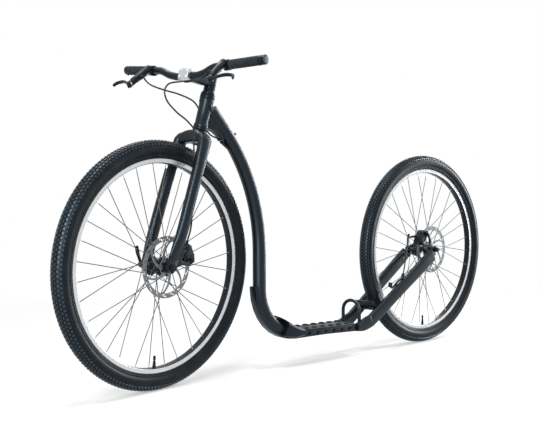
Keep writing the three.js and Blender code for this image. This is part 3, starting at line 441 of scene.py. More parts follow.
# each finish is a material and the slot of the CAD colours that it belongs to
framePaint = paint("framePaint", 0.06)
deckPaint = paint("deckPaint", 0.30, 0.55, (0.66, 0.80))
blackAlloy = metal("blackAlloy", "black_alloy", (0.003, 0.0035, 0.0045), (0.007, 0.008, 0.010), 0.0,
                   (0.26, 0.42), specular=0.2)
silverAlloy = metal("silverAlloy", "silver_alloy", (0.42, 0.43, 0.44), (0.80, 0.81, 0.82), 0.95, (0.20, 0.32),
                    (0.02, 0.0006, 0.02))
spokeSteel = metal("spokeSteel", "spoke_steel", (0.05, 0.052, 0.055), (0.10, 0.103, 0.107), 0.25, (0.5, 0.6),
                   specular=0.15)
nippleSteel = metal("nippleSteel", "spoke_steel", (0.40, 0.40, 0.40), (0.60, 0.60, 0.60), 0.9, (0.25, 0.35))
boltSteel = metal("boltSteel", "black_alloy", (0.012, 0.012, 0.013), (0.04, 0.042, 0.045), 0.7, (0.28, 0.42))
rotorSteels, rimFinishes = {}, {}
for end, place in wheelPlaces.items():
    rotorSteels[end] = (ringed(end + "RotorSteel", (0.07, 0.075, 0.08), (0.19, 0.20, 0.21), 0.4, (0.34, 0.46),
                               place), "rotor_steel")
    rimFinishes[end] = ([blackAlloy[0], ringed(end + "RimWall", (0.38, 0.39, 0.40), (0.72, 0.73, 0.74), 0.75,
                                               (0.20, 0.32), place, 1.4)], "black_alloy")
tyreRubber = rubber("tyreRubber", "tyre", (0.0035, 0.0042, 0.005), (0.008, 0.0098, 0.0115), (0.34, 0.46), 700,
                    0.0001, specular=0.15)
treadRubber = rubber("treadRubber", "tyre", (0.006, 0.009, 0.012), (0.016, 0.022, 0.028), (0.32, 0.44), 500,
                     0.00015, 120, 0.50)
butylRubber = rubber("butylRubber", "butyl", (0.006, 0.006, 0.006), (0.012, 0.012, 0.012), (0.6, 0.8),
                     specular=0.15)
gripRubber = rubber("gripRubber", "grip_rubber", (0.008, 0.0095, 0.011), (0.020, 0.023, 0.025), (0.55, 0.72),
                    600, specular=0.2)
hoseJacket = rubber("hoseJacket", "hose_plastic", (0.004, 0.0045, 0.005), (0.009, 0.010, 0.011), (0.30, 0.42),
                    300, 0.00005, 20, 0.25)
greyPlastic = rubber("greyPlastic", "grey_plastic", (0.028, 0.036, 0.044), (0.055, 0.066, 0.078), (0.4, 0.55),
                     800, 0.00005)
padCompound = rubber("padCompound", "", (0.12, 0.09, 0.06), (0.30, 0.25, 0.20), (0.7, 0.85), 1500, 0.0002,
                     900)


# camera, at the photograph's angle

cameraView = {"at": (2.1353, 2.1185, 0.5591), "yaw": -135.870, "pitch": -4.050, "roll": 0.067,
              "lens": 58.82, "sensor": 36, "shift": (-50 / 540, 40 / 540), "far": 60}
(cosYaw, sinYaw), (cosPitch, sinPitch), (cosRoll, sinRoll) = (cosSin(cameraView[k])
                                                              for k in ("yaw", "pitch", "roll"))
ahead = Vector((cosYaw * cosPitch, sinYaw * cosPitch, sinPitch))
right = ahead.cross(Vector((0, 0, 1))).normalized()
upward = right.cross(ahead)
right, upward = right * cosRoll + upward * sinRoll, upward * cosRoll - right * sinRoll
lensData = bpy.data.cameras.new("photoCamera")
lensData.lens, lensData.sensor_width = cameraView["lens"], cameraView["sensor"]
lensData.sensor_fit = "HORIZONTAL"
lensData.shift_x, lensData.shift_y = cameraView["shift"]
lensData.clip_end = cameraView["far"]
photoCamera = linked("photoCamera", lensData)
photoCamera.matrix_world = (Matrix.Translation(cameraView["at"])
                            @ Matrix((right, upward, -ahead)).transposed().to_4x4())
scene.camera = photoCamera


# studio: white floor and world to the camera, soft overhead light

studio = {"overhead": 1.2, "overheadSoft": 7, "overheadTilt": (-9, 9), "world": 0.30, "floorGlow": 0.40,
          "fade": (1.0, 2.5), "floor": (0.44, 0.44, 0.445), "floorSize": 16, "floorDrop": 0.0003}


def seenDirectly(tree):
    # 1 for rays from the camera, a mirror or glass
    path = tree.nodes.new("ShaderNodeLightPath")
    total = path.outputs["Is Camera Ray"]
    for key in ("Is Glossy Ray", "Is Transmission Ray"):
        node = tree.nodes.new("ShaderNodeMath")
        node.operation, node.use_clamp = "ADD", True
        fill(tree, node, {0: total, 1: path.outputs[key]})
        total = node.outputs[0]
    return total


def blended(tree, factor, first, second):
    return add(tree, "MixShader", {"Fac": factor, 1: first.outputs[0], 2: second.outputs[0]})


def floorMaterial():
    material = bpy.data.materials.new("studioFloor")
    tree = treeOf(material)
    diffuse = tree.nodes["Principled BSDF"]
    fill(tree, diffuse, {"Base Color": studio["floor"], "Roughness": 0.9, "Specular IOR Level": 0.0})
    length = tree.nodes.new("ShaderNodeVectorMath")
    length.operation = "LENGTH"
    fill(tree, length, {0: tree.nodes.new("ShaderNodeTexCoord").outputs["Object"]})
    fade = ranged(tree, length.outputs["Value"], 0, 1, *studio["fade"])
    glow = add(tree, "Emission", {"Strength": studio["floorGlow"]})
    white = add(tree, "Emission", {"Strength": 1.0})
    lit = add(tree, "AddShader", {0: diffuse.outputs["BSDF"], 1: glow.outputs["Emission"]})
    shown = blended(tree, seenDirectly(tree), diffuse, blended(tree, fade, lit, white))
    fill(tree, tree.nodes["Material Output"], {"Surface": shown.outputs["Shader"]})
    return material


floorBm = bmesh.new()
bmesh.ops.create_grid(floorBm, x_segments=2, y_segments=2, size=studio["floorSize"])
floorMesh = bpy.data.meshes.new("studioFloor")
floorBm.to_mesh(floorMesh)
floorBm.free()
floorMesh.transform(Matrix.Translation((0, 0, -studio["floorDrop"])))
floorMesh.materials.append(floorMaterial())
studioFloor = linked("studioFloor", floorMesh)

world = bpy.data.worlds.new("studioWorld")
worldTree = treeOf(world)
scene.world = world
dimSky, whiteSky = worldTree.nodes["Background"], worldTree.nodes.new("ShaderNodeBackground")
for sky, strength in ((dimSky, studio["world"]), (whiteSky, 1.0)):
    fill(worldTree, sky, {"Color": (1, 1, 1), "Strength": strength})
bothSkies = blended(worldTree, seenDirectly(worldTree), dimSky, whiteSky)
fill(worldTree, worldTree.nodes["World Output"], {"Surface": bothSkies.outputs["Shader"]})

overheadData = bpy.data.lights.new("overheadLight", "SUN")
overheadData.energy = studio["overhead"]
overheadData.angle = math.radians(studio["overheadSoft"])
overheadLight = linked("overheadLight", overheadData)
overheadLight.rotation_euler = [math.radians(a) for a in studio["overheadTilt"]] + [0]

softboxTarget = Vector((0, 0, 0.45))
softboxes = {"keySoftbox": {"at": (2.45, 1.35, 1.15), "size": (0.62, 2.0), "power": 88},
             "rimSoftbox": {"at": (-2.3, 0.5, 1.2), "size": (0.4, 2.0), "power": 62},
             "backSoftbox": {"at": (-2.6, -1.4, 1.0), "size": (0.9, 1.6), "power": 44},
             "topSoftbox": {"at": (0.2, -0.8, 2.6), "size": (2.2, 0.4), "power": 26}}
for name, box in softboxes.items():
    data = bpy.data.lights.new(name, "AREA")
    data.shape, data.size, data.size_y, data.energy = "RECTANGLE", *box["size"], box["power"]
    softbox = linked(name, data)
    softbox.location = box["at"]
    softbox.rotation_euler = (Vector(box["at"]) - softboxTarget).to_track_quat("Z", "Y").to_euler()


print("stage: wheels")

tyreShape = {"crown": 338, "casing": 23.4, "steps": 144,
             "bead": [(317.8, 8.6), (318.0, 13.7), (316.6, 14.5), (311.4, 14.4), (310.7, 14.9), (311.2, 15.5),
                      (314.2, 16.3), (318.2, 17.2), (319.0, 17.7), (319.8, 17.5), (321.2, 17.6)],
             "inside": [(317.8, 6.8), (328, 18.5), (338, 21.3), (350, 17.2), (357.6, 8), (359, 0)],
             "rows": (-57, -38, -19, 0, 19, 38, 57), "blocks": 180, "block": (7.6, 5.0), "blockHeight": 2.5,
             "sunk": 0.4, "shoulder": 45, "shoulderWide": 1.25}


def casing():
    crown, radius, inside = (tyreShape[k] for k in ("crown", "casing", "inside"))
    half = tyreShape["bead"] + [(crown + radius * s, radius * c) for c, s in map(cosSin, range(-40, 90, 5))]
    half += [(crown + radius, 0)]
    return spunAcross(half + flipped(half[-2::-1]) + flipped(inside[:-1]) + inside[::-1], tyreShape["steps"])


def tread():
    bm = bmesh.new()
    pitch = 360 / tyreShape["blocks"]
    long, wide = tyreShape["block"]
    high = tyreShape["blockHeight"] + tyreShape["sunk"]
    for row, tilt in enumerate(tyreShape["rows"]):
        grown = tyreShape["shoulderWide"] if abs(tilt) > tyreShape["shoulder"] else 1
        place = (turn(pitch / 2 if row % 2 else 0, "Y") @ move(tyreShape["crown"], 0, 0) @ turn(tilt, "Z")
                 @ move(tyreShape["casing"] - tyreShape["sunk"], 0, 0) @ turn(90, "Y")
                 @ Matrix.Diagonal((long / 2, wide / 2 * grown, 1, 1)) @ turn(45, "Z"))
        bmesh.ops.create_cone(bm, cap_ends=True, segments=4, radius1=math.sqrt(2) * mm, radius2=1.16 * mm,
                              depth=high * mm, matrix=place @ move(0, 0, high / 2))
    bmesh.ops.spin(bm, geom=bm.verts[:] + bm.edges[:] + bm.faces[:], cent=(0, 0, 0), axis=(0, 1, 0),
                   angle=2 * math.pi * (1 - 1 / tyreShape["blocks"]), steps=tyreShape["blocks"] - 1,
                   use_duplicate=True)
    return outward(bm)


rimShape = {"half": [(297, 0), (297, 8), (297.5, 10.8), (298.6, 12.5), (300, 13.2), (300.8, 13.1),
                     (309, 13.6), (316.4, 13.9), (317.1, 13.4), (316.9, 12.3), (314.6, 11.9), (313.4, 12.6),
                     (310.5, 12.2), (307.5, 8), (306.5, 0)],
            "wall": (298.3, 317.2), "wallFrom": 12.4, "steps": 144}


def rim():
    half = rimShape["half"]
    bm = spun(half + flipped(half[-2:0:-1]), rimShape["steps"], closed=True)
    low, high = rimShape["wall"]
    for face in bm.faces:
        middle = face.calc_center_median()
        radius = math.hypot(middle.x, middle.y) / mm
        if low < radius < high and abs(middle.z) > rimShape["wallFrom"] * mm:
            face.material_index = 1
    bm.transform(acrossWheel)
    return bm


innerTubeHalf = [(317.5, 5), (320, 9), (335, 19), (346, 15), (352, 7)]
valveShape = {"stem": 3.4, "base": 312, "tip": 262}


def valve():
    tip, base, r = valveShape["tip"], valveShape["base"], valveShape["stem"]
    bm = spun([(0, tip), (r - 0.6, tip), (r + 0.5, tip + 1), (r + 0.5, tip + 12), (r - 0.9, tip + 12.6),
               (r - 0.9, tip + 14.4), (r + 0.4, tip + 15.4), (r + 1.2, 289.5), (r + 1.8, 293),
               (r + 2.0, 296.5), (0, base)], 20)
    bm.transform(turn(180, "X"))
    return bm


hubShape = {"front": {"right": -44, "rightFlange": -32, "leftFlange": 18.5, "rotor": 34.7, "left": 44},
            "rear": {"right": -49, "rightFlange": -35, "leftFlange": 22, "rotor": 39.7, "left": 49}}


def hub(size):
    right, low, high, disc, left = (size[k] for k in ("right", "rightFlange", "leftFlange", "rotor", "left"))
    return spunAcross([
        (6.2, right), (10.8, right), (12.4, right + 1.2), (13, low - 5.5), (16, low - 3.2), (27.6, low - 2.6),
        (29, low - 1.4), (29, low + 1.4), (27.6, low + 2.6), (17, low + 3.4), (13.4, low + 8), (12, low + 15),
        (12, high - 15), (13.4, high - 8), (17, high - 3.4), (27.6, high - 2.6), (29, high - 1.4),
        (29, high + 1.4), (27.6, high + 2.6), (23, high + 3.2), (22, high + 4.6), (22, disc - 1.5),
        (15.5, disc - 1.5), (15.5, disc + 3.4), (14.2, disc + 4.2), (12.6, disc + 4.6), (12, left),
        (6.2, left)], 64)


spokeShape = {"count": 32, "crosses": 3, "radius": 1.2, "start": 26, "end": 293.5, "nipple": (2.0, 1.6),
              "phase": -2, "elbow": 1.15, "head": (2.1, 1.5)}


def spokesAndNipples(size):
    perFlange = spokeShape["count"] // 2
    pitch = 360 / perFlange
    wires, nipples = [], []
    for i in range(spokeShape["count"]):
        side = 1 if i % 2 else -1
        step = i // 2
        leads = 1 if step % 2 else -1
        flange = size["leftFlange"] if side > 0 else size["rightFlange"]
        hubAngle = math.radians((step + (0.75 if side > 0 else 0.25)) * pitch + spokeShape["phase"])
        rimAngle = hubAngle + math.radians(leads * spokeShape["crosses"] * pitch)
        r0, r1 = spokeShape["start"], spokeShape["end"]
        y0, y1 = flange + leads * 3.4 + side * 0.3, side * 3 + leads * 1.3
        start = Vector((r0 * math.cos(hubAngle), y0, r0 * math.sin(hubAngle)))
        end = Vector((r1 * math.cos(rimAngle), y1, r1 * math.sin(rimAngle)))
        along = (end - start).normalized()
        elbow = Vector((start.x, flange - leads * 3.2, start.z))
        across = Vector((0, leads, 0))
        wires.append(rod(start, end, spokeShape["radius"], sides=8))
        wires.append(rod(elbow, start, spokeShape["elbow"], sides=8))
        wires.append(rod(elbow + across * 0.2, elbow - across * 1.3, *spokeShape["head"], sides=10))
        nipples.append(rod(end + along * 2.2, end - along * 8, *spokeShape["nipple"], sides=8))
    return join(*wires), join(*nipples)


rotorShape = {"inner": 75.5, "half": 0.95, "sweep": 38, "rows": (75.5, 78, 80.2, 82.6, 85.0, 87.4, 90),
              "steps": 144, "carrier": (17, 26), "arms": 6, "armRoot": (23, 24), "armHalf": (5.2, 3.4),
              "bolts": 21.8}


def rotorRing():
    # ring of small faces with slanted rows of them taken out, then given its thickness
    half, steps = rotorShape["half"] * mm, rotorShape["steps"]
    bm = spun([(r, 0) for r in rotorShape["rows"]], steps)
    holes = set()
    for face in bm.faces:
        middle = face.calc_center_median()
        radius = math.hypot(middle.x, middle.y) / mm
        row = sum(radius > r for r in rotorShape["rows"]) - 1
        step = int(math.degrees(math.atan2(middle.y, middle.x)) % 360 / 360 * steps)
        slot = (step - row) % 8 in ((0, 1) if row % 2 else (0,))
        if 1 <= row <= 4 and (slot or (step + 4 - row * 2) % 16 == 0):
            holes.add(face)
    bmesh.ops.delete(bm, geom=list(holes), context="FACES")
    outward(bm)
    bmesh.ops.solidify(bm, geom=bm.faces[:], thickness=half)
    outward(bm)
    bmesh.ops.translate(bm, vec=(0, 0, -min(v.co.z for v in bm.verts) - half), verts=bm.verts)
    bm.transform(acrossWheel)
    return bm


def rotorArms():
    (start, root), (wide, narrow) = rotorShape["armRoot"], rotorShape["armHalf"]
    reach, half = rotorShape["inner"], rotorShape["half"]
    arms = []
    for arm in range(rotorShape["arms"]):
        sections = []
        for i in range(13):
            r = start + (reach + 1.5 - start) * i / 12
            share = (r - root) / (reach - root)
            angle = arm * 60 + share * rotorShape["sweep"]
            foot = (2.0 if i > 10 else 0) * (i - 10) / 2 + (1.2 if i < 2 else 0)
            x, z = polar(angle, r)
            c, s = cosSin(angle)
            sections.append(section((x, 0, z), (-s, 0, c), (0, 1, 0), wide + (narrow - wide) * share + foot,
                                    half))
        arms.append(lofted(sections, 12, 0.35))
    inner, outer = rotorShape["carrier"]
    carrier = spunAcross([(inner, -half), (outer, -half), (outer, half), (inner, half)], 48)
    return join(carrier, *arms)


def rotorBolts():
    spots = [polar(i * 60 + 30, rotorShape["bolts"]) for i in range(6)]
    return join(*[socketBolt((x, 0.9, z), (x, 3.2, z), 3.6) for x, z in spots])


for end, place in wheelPlaces.items():
    size, steel, wheel = hubShape[end], rotorSteels[end], (end + "_wheel", place)
    disc = (end + "_wheel", place @ move(0, size["rotor"], 0))
    innerTube = spunAcross(innerTubeHalf + flipped(innerTubeHalf[::-1]), 96)
    make(end + "_tyre_casing", casing(), tyreRubber, wheel, end + "_tyre")
    make(end + "_tread", tread(), treadRubber, wheel, smooth=30)
    finished(end + "_rim", rim(), rimFinishes[end], wheel, 30)
    make(end + "_tube_finished", innerTube, butylRubber, wheel, end + "_inner_tube")
    make(end + "_valve", valve(), butylRubber, wheel)
    make(end + "_hub", hub(size), blackAlloy, wheel)
    wires, nipples = spokesAndNipples(size)
    make(end + "_spokes", wires, spokeSteel, wheel, end + "_hub_and_spokes")
    make(end + "_nipples", nipples, nippleSteel, wheel)
    make(end + "_rotor_ring", rotorRing(), steel, disc, end + "_rotor", 30)
    make(end + "_rotor_spider", rotorArms(), steel, disc, smooth=30)
    make(end + "_rotor_bolts", rotorBolts(), boltSteel, disc)


print("stage: head and fork")

headTubeShape = [(17.5, 437), (22.5, 437), (22.5, 445), (20.5, 449), (20.5, 511), (22.5, 516), (22.5, 527),
                 (17.5, 527)]
finished("head_tube", soften(spun(headTubeShape, 64, True), 0.8, 3), framePaint, atHead)
cupShapes = {"lower": [(20.4, 428.4), (23, 428.4), (23, 436.7), (16, 436.7), (16, 435), (20.4, 435)],
             "upper": [(20.4, 539.7), (23, 539.7), (23, 527.3), (16, 527.3), (16, 529), (20.4, 529)]}
for level, profile in cupShapes.items():
    make(level + "_cup_finished", soften(spun(profile, 64, True), 0.5), blackAlloy, atHead,
         level + "_headset_cup")

spacerShape = [(15.2, 540), (22, 540), (22.4, 541), (22.2, 544), (19.5, 549), (17.7, 551.6), (17.7, 556.2),
               (17.2, 556.5), (17.2, 556.9), (17.7, 557.2), (17.7, 564.1), (17.2, 564.4), (17.2, 564.8),
               (17.7, 565.1), (17.7, 571.7), (15.2, 571.7)]
make("spacers_finished", spun(spacerShape, 64, True), blackAlloy, onSteering, "headset_spacers")

crownShape = {"tilt": 12,
              "rows": [(0, 405, 20, 16, 23), (20, 403.5, 19.5, 17, 22.5), (34, 399.5, 17.5, 18.5, 22),
                       (46, 395.5, 15, 19, 21)],
              "steerer": [(12, 386), (21, 386), (22.4, 392), (22.4, 421), (20.5, 426.4), (18, 427.9),
                          (14.3, 427.9), (14.3, 599), (12, 599)]}
crownRows = [(-l, *others) for l, *others in crownShape["rows"][:0:-1]] + crownShape["rows"]
crownSections = [section((f, l, u), *tipped(crownShape["tilt"]), halfF, halfU)
                 for l, u, halfU, f, halfF in eased(crownRows, 5)]
finished("fork_crown", join(lofted(crownSections, 36, 0.7), spun(crownShape["steerer"], 48, True)),
         framePaint, onSteering)

legShape = {"rows": [(413, 36, 17, 15, 11), (407, 41.5, 18, 20.5, 14), (397, 47.5, 19, 22.6, 15.4),
                     (384, 52, 20, 22.5, 15.6), (310, 57, 25.5, 19, 15.5), (204, 59, 31, 18, 15),
                     (110, 60, 34.5, 18.5, 13.5), (50, 57, 38, 19.5, 9), (20, 54.2, 40, 17, 4)],
            "end": (50, 58), "foot": (40, 17)}
footAt, footRadius = legShape["foot"]
foot = [(footAt - footRadius * c, -footRadius * s) for c, s in map(cosSin, (18, 54, 126, 162))]
forkEndOutline = [(23, 34), (23, 0), *foot[:2], (34.8, -17), (34.8, 3), (37.5, 5.4), (42.5, 5.4), (45.2, 3),
                  (45.2, -17), *foot[2:], (57, 0), (57, 34)]
lugShape = [(8, -9), (40, -14), (60, -28), (70, -30), (77, -28), (79, -22), (74, -17), (60, -14), (45, -3),
            (45, 3), (60, 14), (74, 17), (79, 22), (77, 28), (70, 30), (60, 28), (40, 14), (8, 9)]
brakeShape = {"front": {"angle": 138, "lugs": (50, 55.6)}, "rear": {"angle": 35, "lugs": (55.2, 60.8)}}


def lugPlate(brake):
    # two lugs for the brake caliper, reaching out from the axle
    return plate([polar(brake["angle"], r, across) for r, across in lugShape], *brake["lugs"])


legSections = [section((f, l, u), (1, 0, 0), (0, 1, 0), halfF, halfL)
               for u, l, f, halfF, halfL in eased(legShape["rows"], 6)]
for side, home in steeringSides.items():
    make(side + "_leg_blade", lofted(legSections, 36, 0.92), framePaint, home, side + "_fork_leg")
    make(side + "_leg_end", plate(forkEndOutline, *legShape["end"]), framePaint, home)
make("brake_mount", lugPlate(brakeShape["front"]), framePaint, axleHomes["front"])


print("stage: stem and handlebar")

stemShape = {"rows": [(2, 585.5, 13.5, 15), (30, 578, 17, 15.5), (72, 568, 15, 16), (95.5, 562, 19, 19.5)],
             "clamp": [(14.7, 572), (17.6, 572), (17.6, 599.7), (14.7, 599.7)],
             "face": [(97, 544), (108, 544.5), (115.5, 551), (115.5, 576), (108, 582.5), (97, 583)],
             "faceBolts": [(112, l, u) for l in (-13, 13) for u in (553.5, 573.5)], "clampBolts": (579, 592),
             "cap": [(0, 600), (16.6, 600), (17, 600.4), (17, 603), (15.4, 605), (14.6, 605.5), (6, 605.5),
                     (5.4, 604.6), (0, 604.6)]}
stemBody = lofted([section((f, 0, u), (0, 1, 0), (0.2, 0, 0.98), halfL, halfU)
                   for f, u, halfU, halfL in eased(stemShape["rows"], 5)], 32, 0.62)
stemClamp = soften(spun(stemShape["clamp"], 48, True), 0.6)
finished("stem", join(stemBody, stemClamp), (framePaint[0], "black_alloy"), onSteering)
make("faceplate_finished", plate(stemShape["face"], -20, 20, 1.8, 3), silverAlloy, onSteering,
     "stem_faceplate")
faceBolts = [socketBolt((f, l, u), (f + 4.6, l, u), 3) for f, l, u in stemShape["faceBolts"]]
make("faceplate_bolts", join(*faceBolts), silverAlloy, onSteering)
clampBolts = [socketBolt((-16, 0, u), (-19.6, 0, u), 3.0) for u in stemShape["clampBolts"]]
make("stem_bolts", join(*clampBolts), boltSteel, onSteering)
finished("top_cap", spun(stemShape["cap"]), blackAlloy, onSteering)
make("cap_bolt", socketBolt((0, 0, 604), (0, 0, 605.4), 4.4), boltSteel, onSteering)

barShape = {"half": [(96, 0, 562, 12.6), (96, 24, 562, 12.6), (96, 34, 562, 11.1), (96.5, 48, 563, 11.1),
                     (99, 75, 568.5, 11.1), (101.2, 98, 577.5, 11.1)],
            "slope": (101, 115, 583), "tip": (88.5, 286, 599), "radius": 11.1}
barSlope, barTip = Vector(barShape["slope"]), Vector(barShape["tip"])
barDirection = (barTip - barSlope).normalized()


def onBar(l):
    return barSlope + barDirection * ((l - barSlope.y) / barDirection.y)


def alongBar(profile, closed=True):
    bm = spun([(r, l / barDirection.y) for r, l in profile], 40, closed)
    bm.transform(move(*onBar(0)) @ facing(barDirection))
    return bm


barRows = barShape["half"] + [(*p, barShape["radius"]) for p in (onBar(122), onBar(200), barTip)]
barRows = [(f, -l, u, r, r) for f, l, u, r in barRows[:0:-1]] + [(*row, row[3]) for row in barRows]
finished("handlebar", lofted(swept(eased(barRows, 5), Vector((1, 0, 0))), 32), blackAlloy, onSteering)

gripShape = {"start": 171, "end": 266, "radius": 13.8, "groove": 0.5, "pitch": 2.8,
             "root": [(11.8, 165.5), (12.9, 165.5), (13.5, 166.6), (13.5, 169.6), (12.6, 170.4)],
             "tip": [(13.7, 266.6), (13.7, 268), (11.8, 268)],
             "ring": [(11.8, 268.4), (13.9, 268.4), (13.9, 287.4), (11.2, 287.4), (11.2, 284), (11.8, 284)],
             "plug": [(0, 284.5), (10.8, 284.5), (10.8, 287.2), (10.2, 288.4), (8.6, 288.9), (0, 289.1)]}


def gripProfile():
    profile = list(gripShape["root"])
    l, pitch, radius = gripShape["start"], gripShape["pitch"], gripShape["radius"]
    low = radius - gripShape["groove"]
    while l < gripShape["end"] - pitch:
        profile += [(low, l), (radius, l + 0.5), (radius, l + pitch - 1.0), (low, l + pitch - 0.5)]
        l += pitch
    return profile + gripShape["tip"]


def barBolt(l, start, end, radius):
    return socketBolt(onBar(l) + Vector(start), onBar(l) + Vector(end), radius)


for side, home in steeringSides.items():
    finished(side + "_grip", alongBar(gripProfile()), gripRubber, home)
    finished(side + "_lock_ring", soften(alongBar(gripShape["ring"]), 0.7), blackAlloy, home)
    make(side + "_lock_bolt", barBolt(275.2, (0, 0, -12), (3, 0, -16.2), 2.6), boltSteel, home)
    make(side + "_plug_finished", alongBar(gripShape["plug"], closed=False), greyPlastic, home,
         side + "_end_plug")


print("stage: brake levers")

leverShape = {"pivot": (163, 168, 516), "cylinder": ((111, 154, 590), (157, 165, 527), 12.0, 10.2),
              "outlet": ((140, 158, 553), (146, 136, 546), 4.3),
              "nut": ((143.5, 145.6, 548.9), (145.6, 137.4, 546.3), 4.4),
              "clamp": [(12, 149), (15.6, 149), (15.6, 161), (12, 161)],
              "link": [(0, 7.5, 1.6), (0.35, 7.0, 1.5), (0.75, 6.4, 1.5), (1.0, 5.6, 1.4)],
              "blade": [(161.5, 173, 518, 4.6, 4.5), (157, 190, 526, 4.4, 3.6), (152, 212, 532, 5.2, 3.2),
                        (150, 234, 531, 5.2, 3.2), (152, 244, 527, 5.0, 3.4), (157, 248, 518, 4.4, 3.0)]}
leverPivot = Vector(leverShape["pivot"])
leverAxis = barDirection.cross(leverPivot - onBar(154)).normalized()


def nearPivot(a):
    return leverPivot + leverAxis * a


def leverBody():
    start, end, wide, narrow = leverShape["cylinder"]
    start, end = Vector(start), Vector(end)
    reach = (end - start).length
    cylinder = spun([(0, 0), (wide - 2.4, 0), (wide - 0.4, 1.4), (wide, 3.4), (wide, 12), (wide - 0.6, 13),
                     (wide - 0.6, 14.6), (wide, 15.6), (wide, reach * 0.55), (narrow + 0.4, reach * 0.8),
                     (narrow, reach - 4), (narrow - 1.8, reach - 0.8), (0, reach)], 32)
    cylinder.transform(aim(start, end))
    clamp = soften(alongBar(leverShape["clamp"]), 0.8)
    cheeks = [rod(nearPivot(a), nearPivot(a + 3.1), 7, edge=0.6) for a in (-8.4, 5.3)]
    links = []
    for a in (-6.9, 6.9):
        top, low = end + leverAxis * a + Vector((-8, -2, 10)), nearPivot(a)
        wideways = (low - top).normalized().cross(leverAxis).normalized()
        links.append(lofted([section(top.lerp(low, t), wideways, leverAxis, w, h)
                             for t, w, h in eased(leverShape["link"], 3)], 16, 0.6))
    pin = socketBolt(nearPivot(-8.2), nearPivot(-9.6), 3.6)
    outlet = rod(*leverShape["outlet"], edge=0.6)
    return join(cylinder, clamp, *cheeks, *links, pin, outlet, rod(*leverShape["nut"], sides=6, edge=0.4))


def leverBlade():
    eye = rod(nearPivot(-4.9), nearPivot(4.9), 6.8, sides=32, edge=0.6)
    return join(lofted(swept(eased(leverShape["blade"], 5), leverAxis), 20, 0.8), eye)


for side, home in steeringSides.items():
    finished(side + "_lever_body", leverBody(), blackAlloy, home)
    blade = (side + "_blade", home[1])
    make(side + "_blade_finished", leverBlade(), blackAlloy, blade, side + "_brake_blade")
    make(side + "_clamp_bolt", barBolt(155, (-14, 0, -3), (-17.5, 0, -7.5), 3.0), boltSteel, home)


print("stage: frame")

tubeShape = {"radius": 21.5, "upper": (793, 393, 560, 138.5), "lower": (83, 270, 150, -78), "reach": 100,
             "straight": (370, 330, 295), "boss": ((331, 0, 762), (341, 0, 754), 4.5),
             "port": ((388, 0, 733.7), (358, 0, 713.7)), "bolt": ((201, 0, 216.6), (196.6, 0, 218.6), 3.6),
             "grommet": [(3.1, -0.6), (5.6, -0.6), (5.6, 0.8), (4.8, 1.4), (4.8, 36), (3.1, 36)],
             "weld": 2.6, "weldSteps": 72, "weldFrom": 21.3, "weldReach": 110, "inside": 12}


def arc(x, z, r, start, end, steps):
    turns = [cosSin(start + (end - start) * i / steps) for i in range(steps + 1)]
    return [(x + r * c, 0, z + r * s) for c, s in turns]


def tubeTop():
    # where the upper arc starts, and the direction from there up into the head tube
    x, z, r, start = tubeShape["upper"]
    c, s = cosSin(start)
    return Vector((x + r * c, 0, z + r * s)), Vector((s, 0, -c))


def tubePath():
    x, z, r, start = tubeShape["upper"]
    top, along = tubeTop()
    path = [top + along * (tubeShape["reach"] * (1 - i / 6)) for i in range(6)]
    path += arc(x, z, r, start, 180, 20)
    path += [(x - r, 0, height) for height in tubeShape["straight"]]
    x, z, r, end = tubeShape["lower"]
    return path + arc(x, z, r, 0, end, 24)


headAxisPoint, headAxis = headPlace.translation / mm, (headPlace.to_3x3() @ Vector((0, 0, 1))).normalized()


def fromHeadAxis(p):
    away = Vector(p) - headAxisPoint
    return (away - headAxis * away.dot(headAxis)).length


# points near the head tube's axis are left out, so the tube ends inside the head tube
tubePoints = [p for p in tubePath() if fromHeadAxis(p) > tubeShape["inside"]]
mainTube = tubeMesh(tubePoints, tubeShape["radius"], 14)
finished("main_tube", join(mainTube, rod(*tubeShape["boss"], edge=0.5)), framePaint, onFrame)
portOuter, portInner = (Vector(p) for p in tubeShape["port"])
make("grommet_finished", soften(spun(tubeShape["grommet"], 32, True), 0.4), hoseJacket,
     ("frame", aim(portOuter, portInner)), "hose_grommet")
make("gusset_finished", copied("head_gusset", 1.2), framePaint, onFrame, "head_gusset")
make("keel_finished", copied("keel_channel", 1.0), framePaint, onFrame, "keel_channel")


noseShape = {"bend": (83, 270), "cut": 21.5, "thick": 1.5,
             "flange": [(46, 132.5, 15), (38, 125.6, 20), (29, 123.2, 25), (20, 125.4, 29.5), (9, 133.8, 36)]}


def bendSpot(angle, radius):
    # point of the lower bend in millimetres, the angle counted forwards from straight down
    x, z = noseShape["bend"]
    c, s = cosSin(angle)
    return (x + radius * s, 0, z - radius * c)


def noseShell():
    # the solid shell up to the cut, then only a flange that runs forward to the tube
    bm = copied("deck_nose", 0)
    cut = noseShape["cut"]
    done = bmesh.ops.bisect_plane(bm, geom=bm.verts[:] + bm.edges[:] + bm.faces[:], dist=1e-6,
                                  plane_co=Vector(bendSpot(cut, 0)) * mm, plane_no=tipped(-cut)[0],
                                  clear_outer=True)
    rim = [g for g in done["geom_cut"] if isinstance(g, bmesh.types.BMEdge)]
    bmesh.ops.holes_fill(bm, edges=rim, sides=0)
    soften(bm, 1.4, 3, 16)
    sections = [section(bendSpot(a, r), (0, 1, 0), tipped(-a)[1], half, noseShape["thick"])
                for a, r, half in eased(noseShape["flange"], 4)]
    return join(bm, lofted(sections, 16, 0.35))


make("nose_finished", noseShell(), framePaint, onFrame, "deck_nose")
make("bend_bolt", socketBolt(*tubeShape["bolt"]), boltSteel, onFrame)
make("tray_finished", copied("deck_tray", 0.9), framePaint, onFrame, "deck_tray")


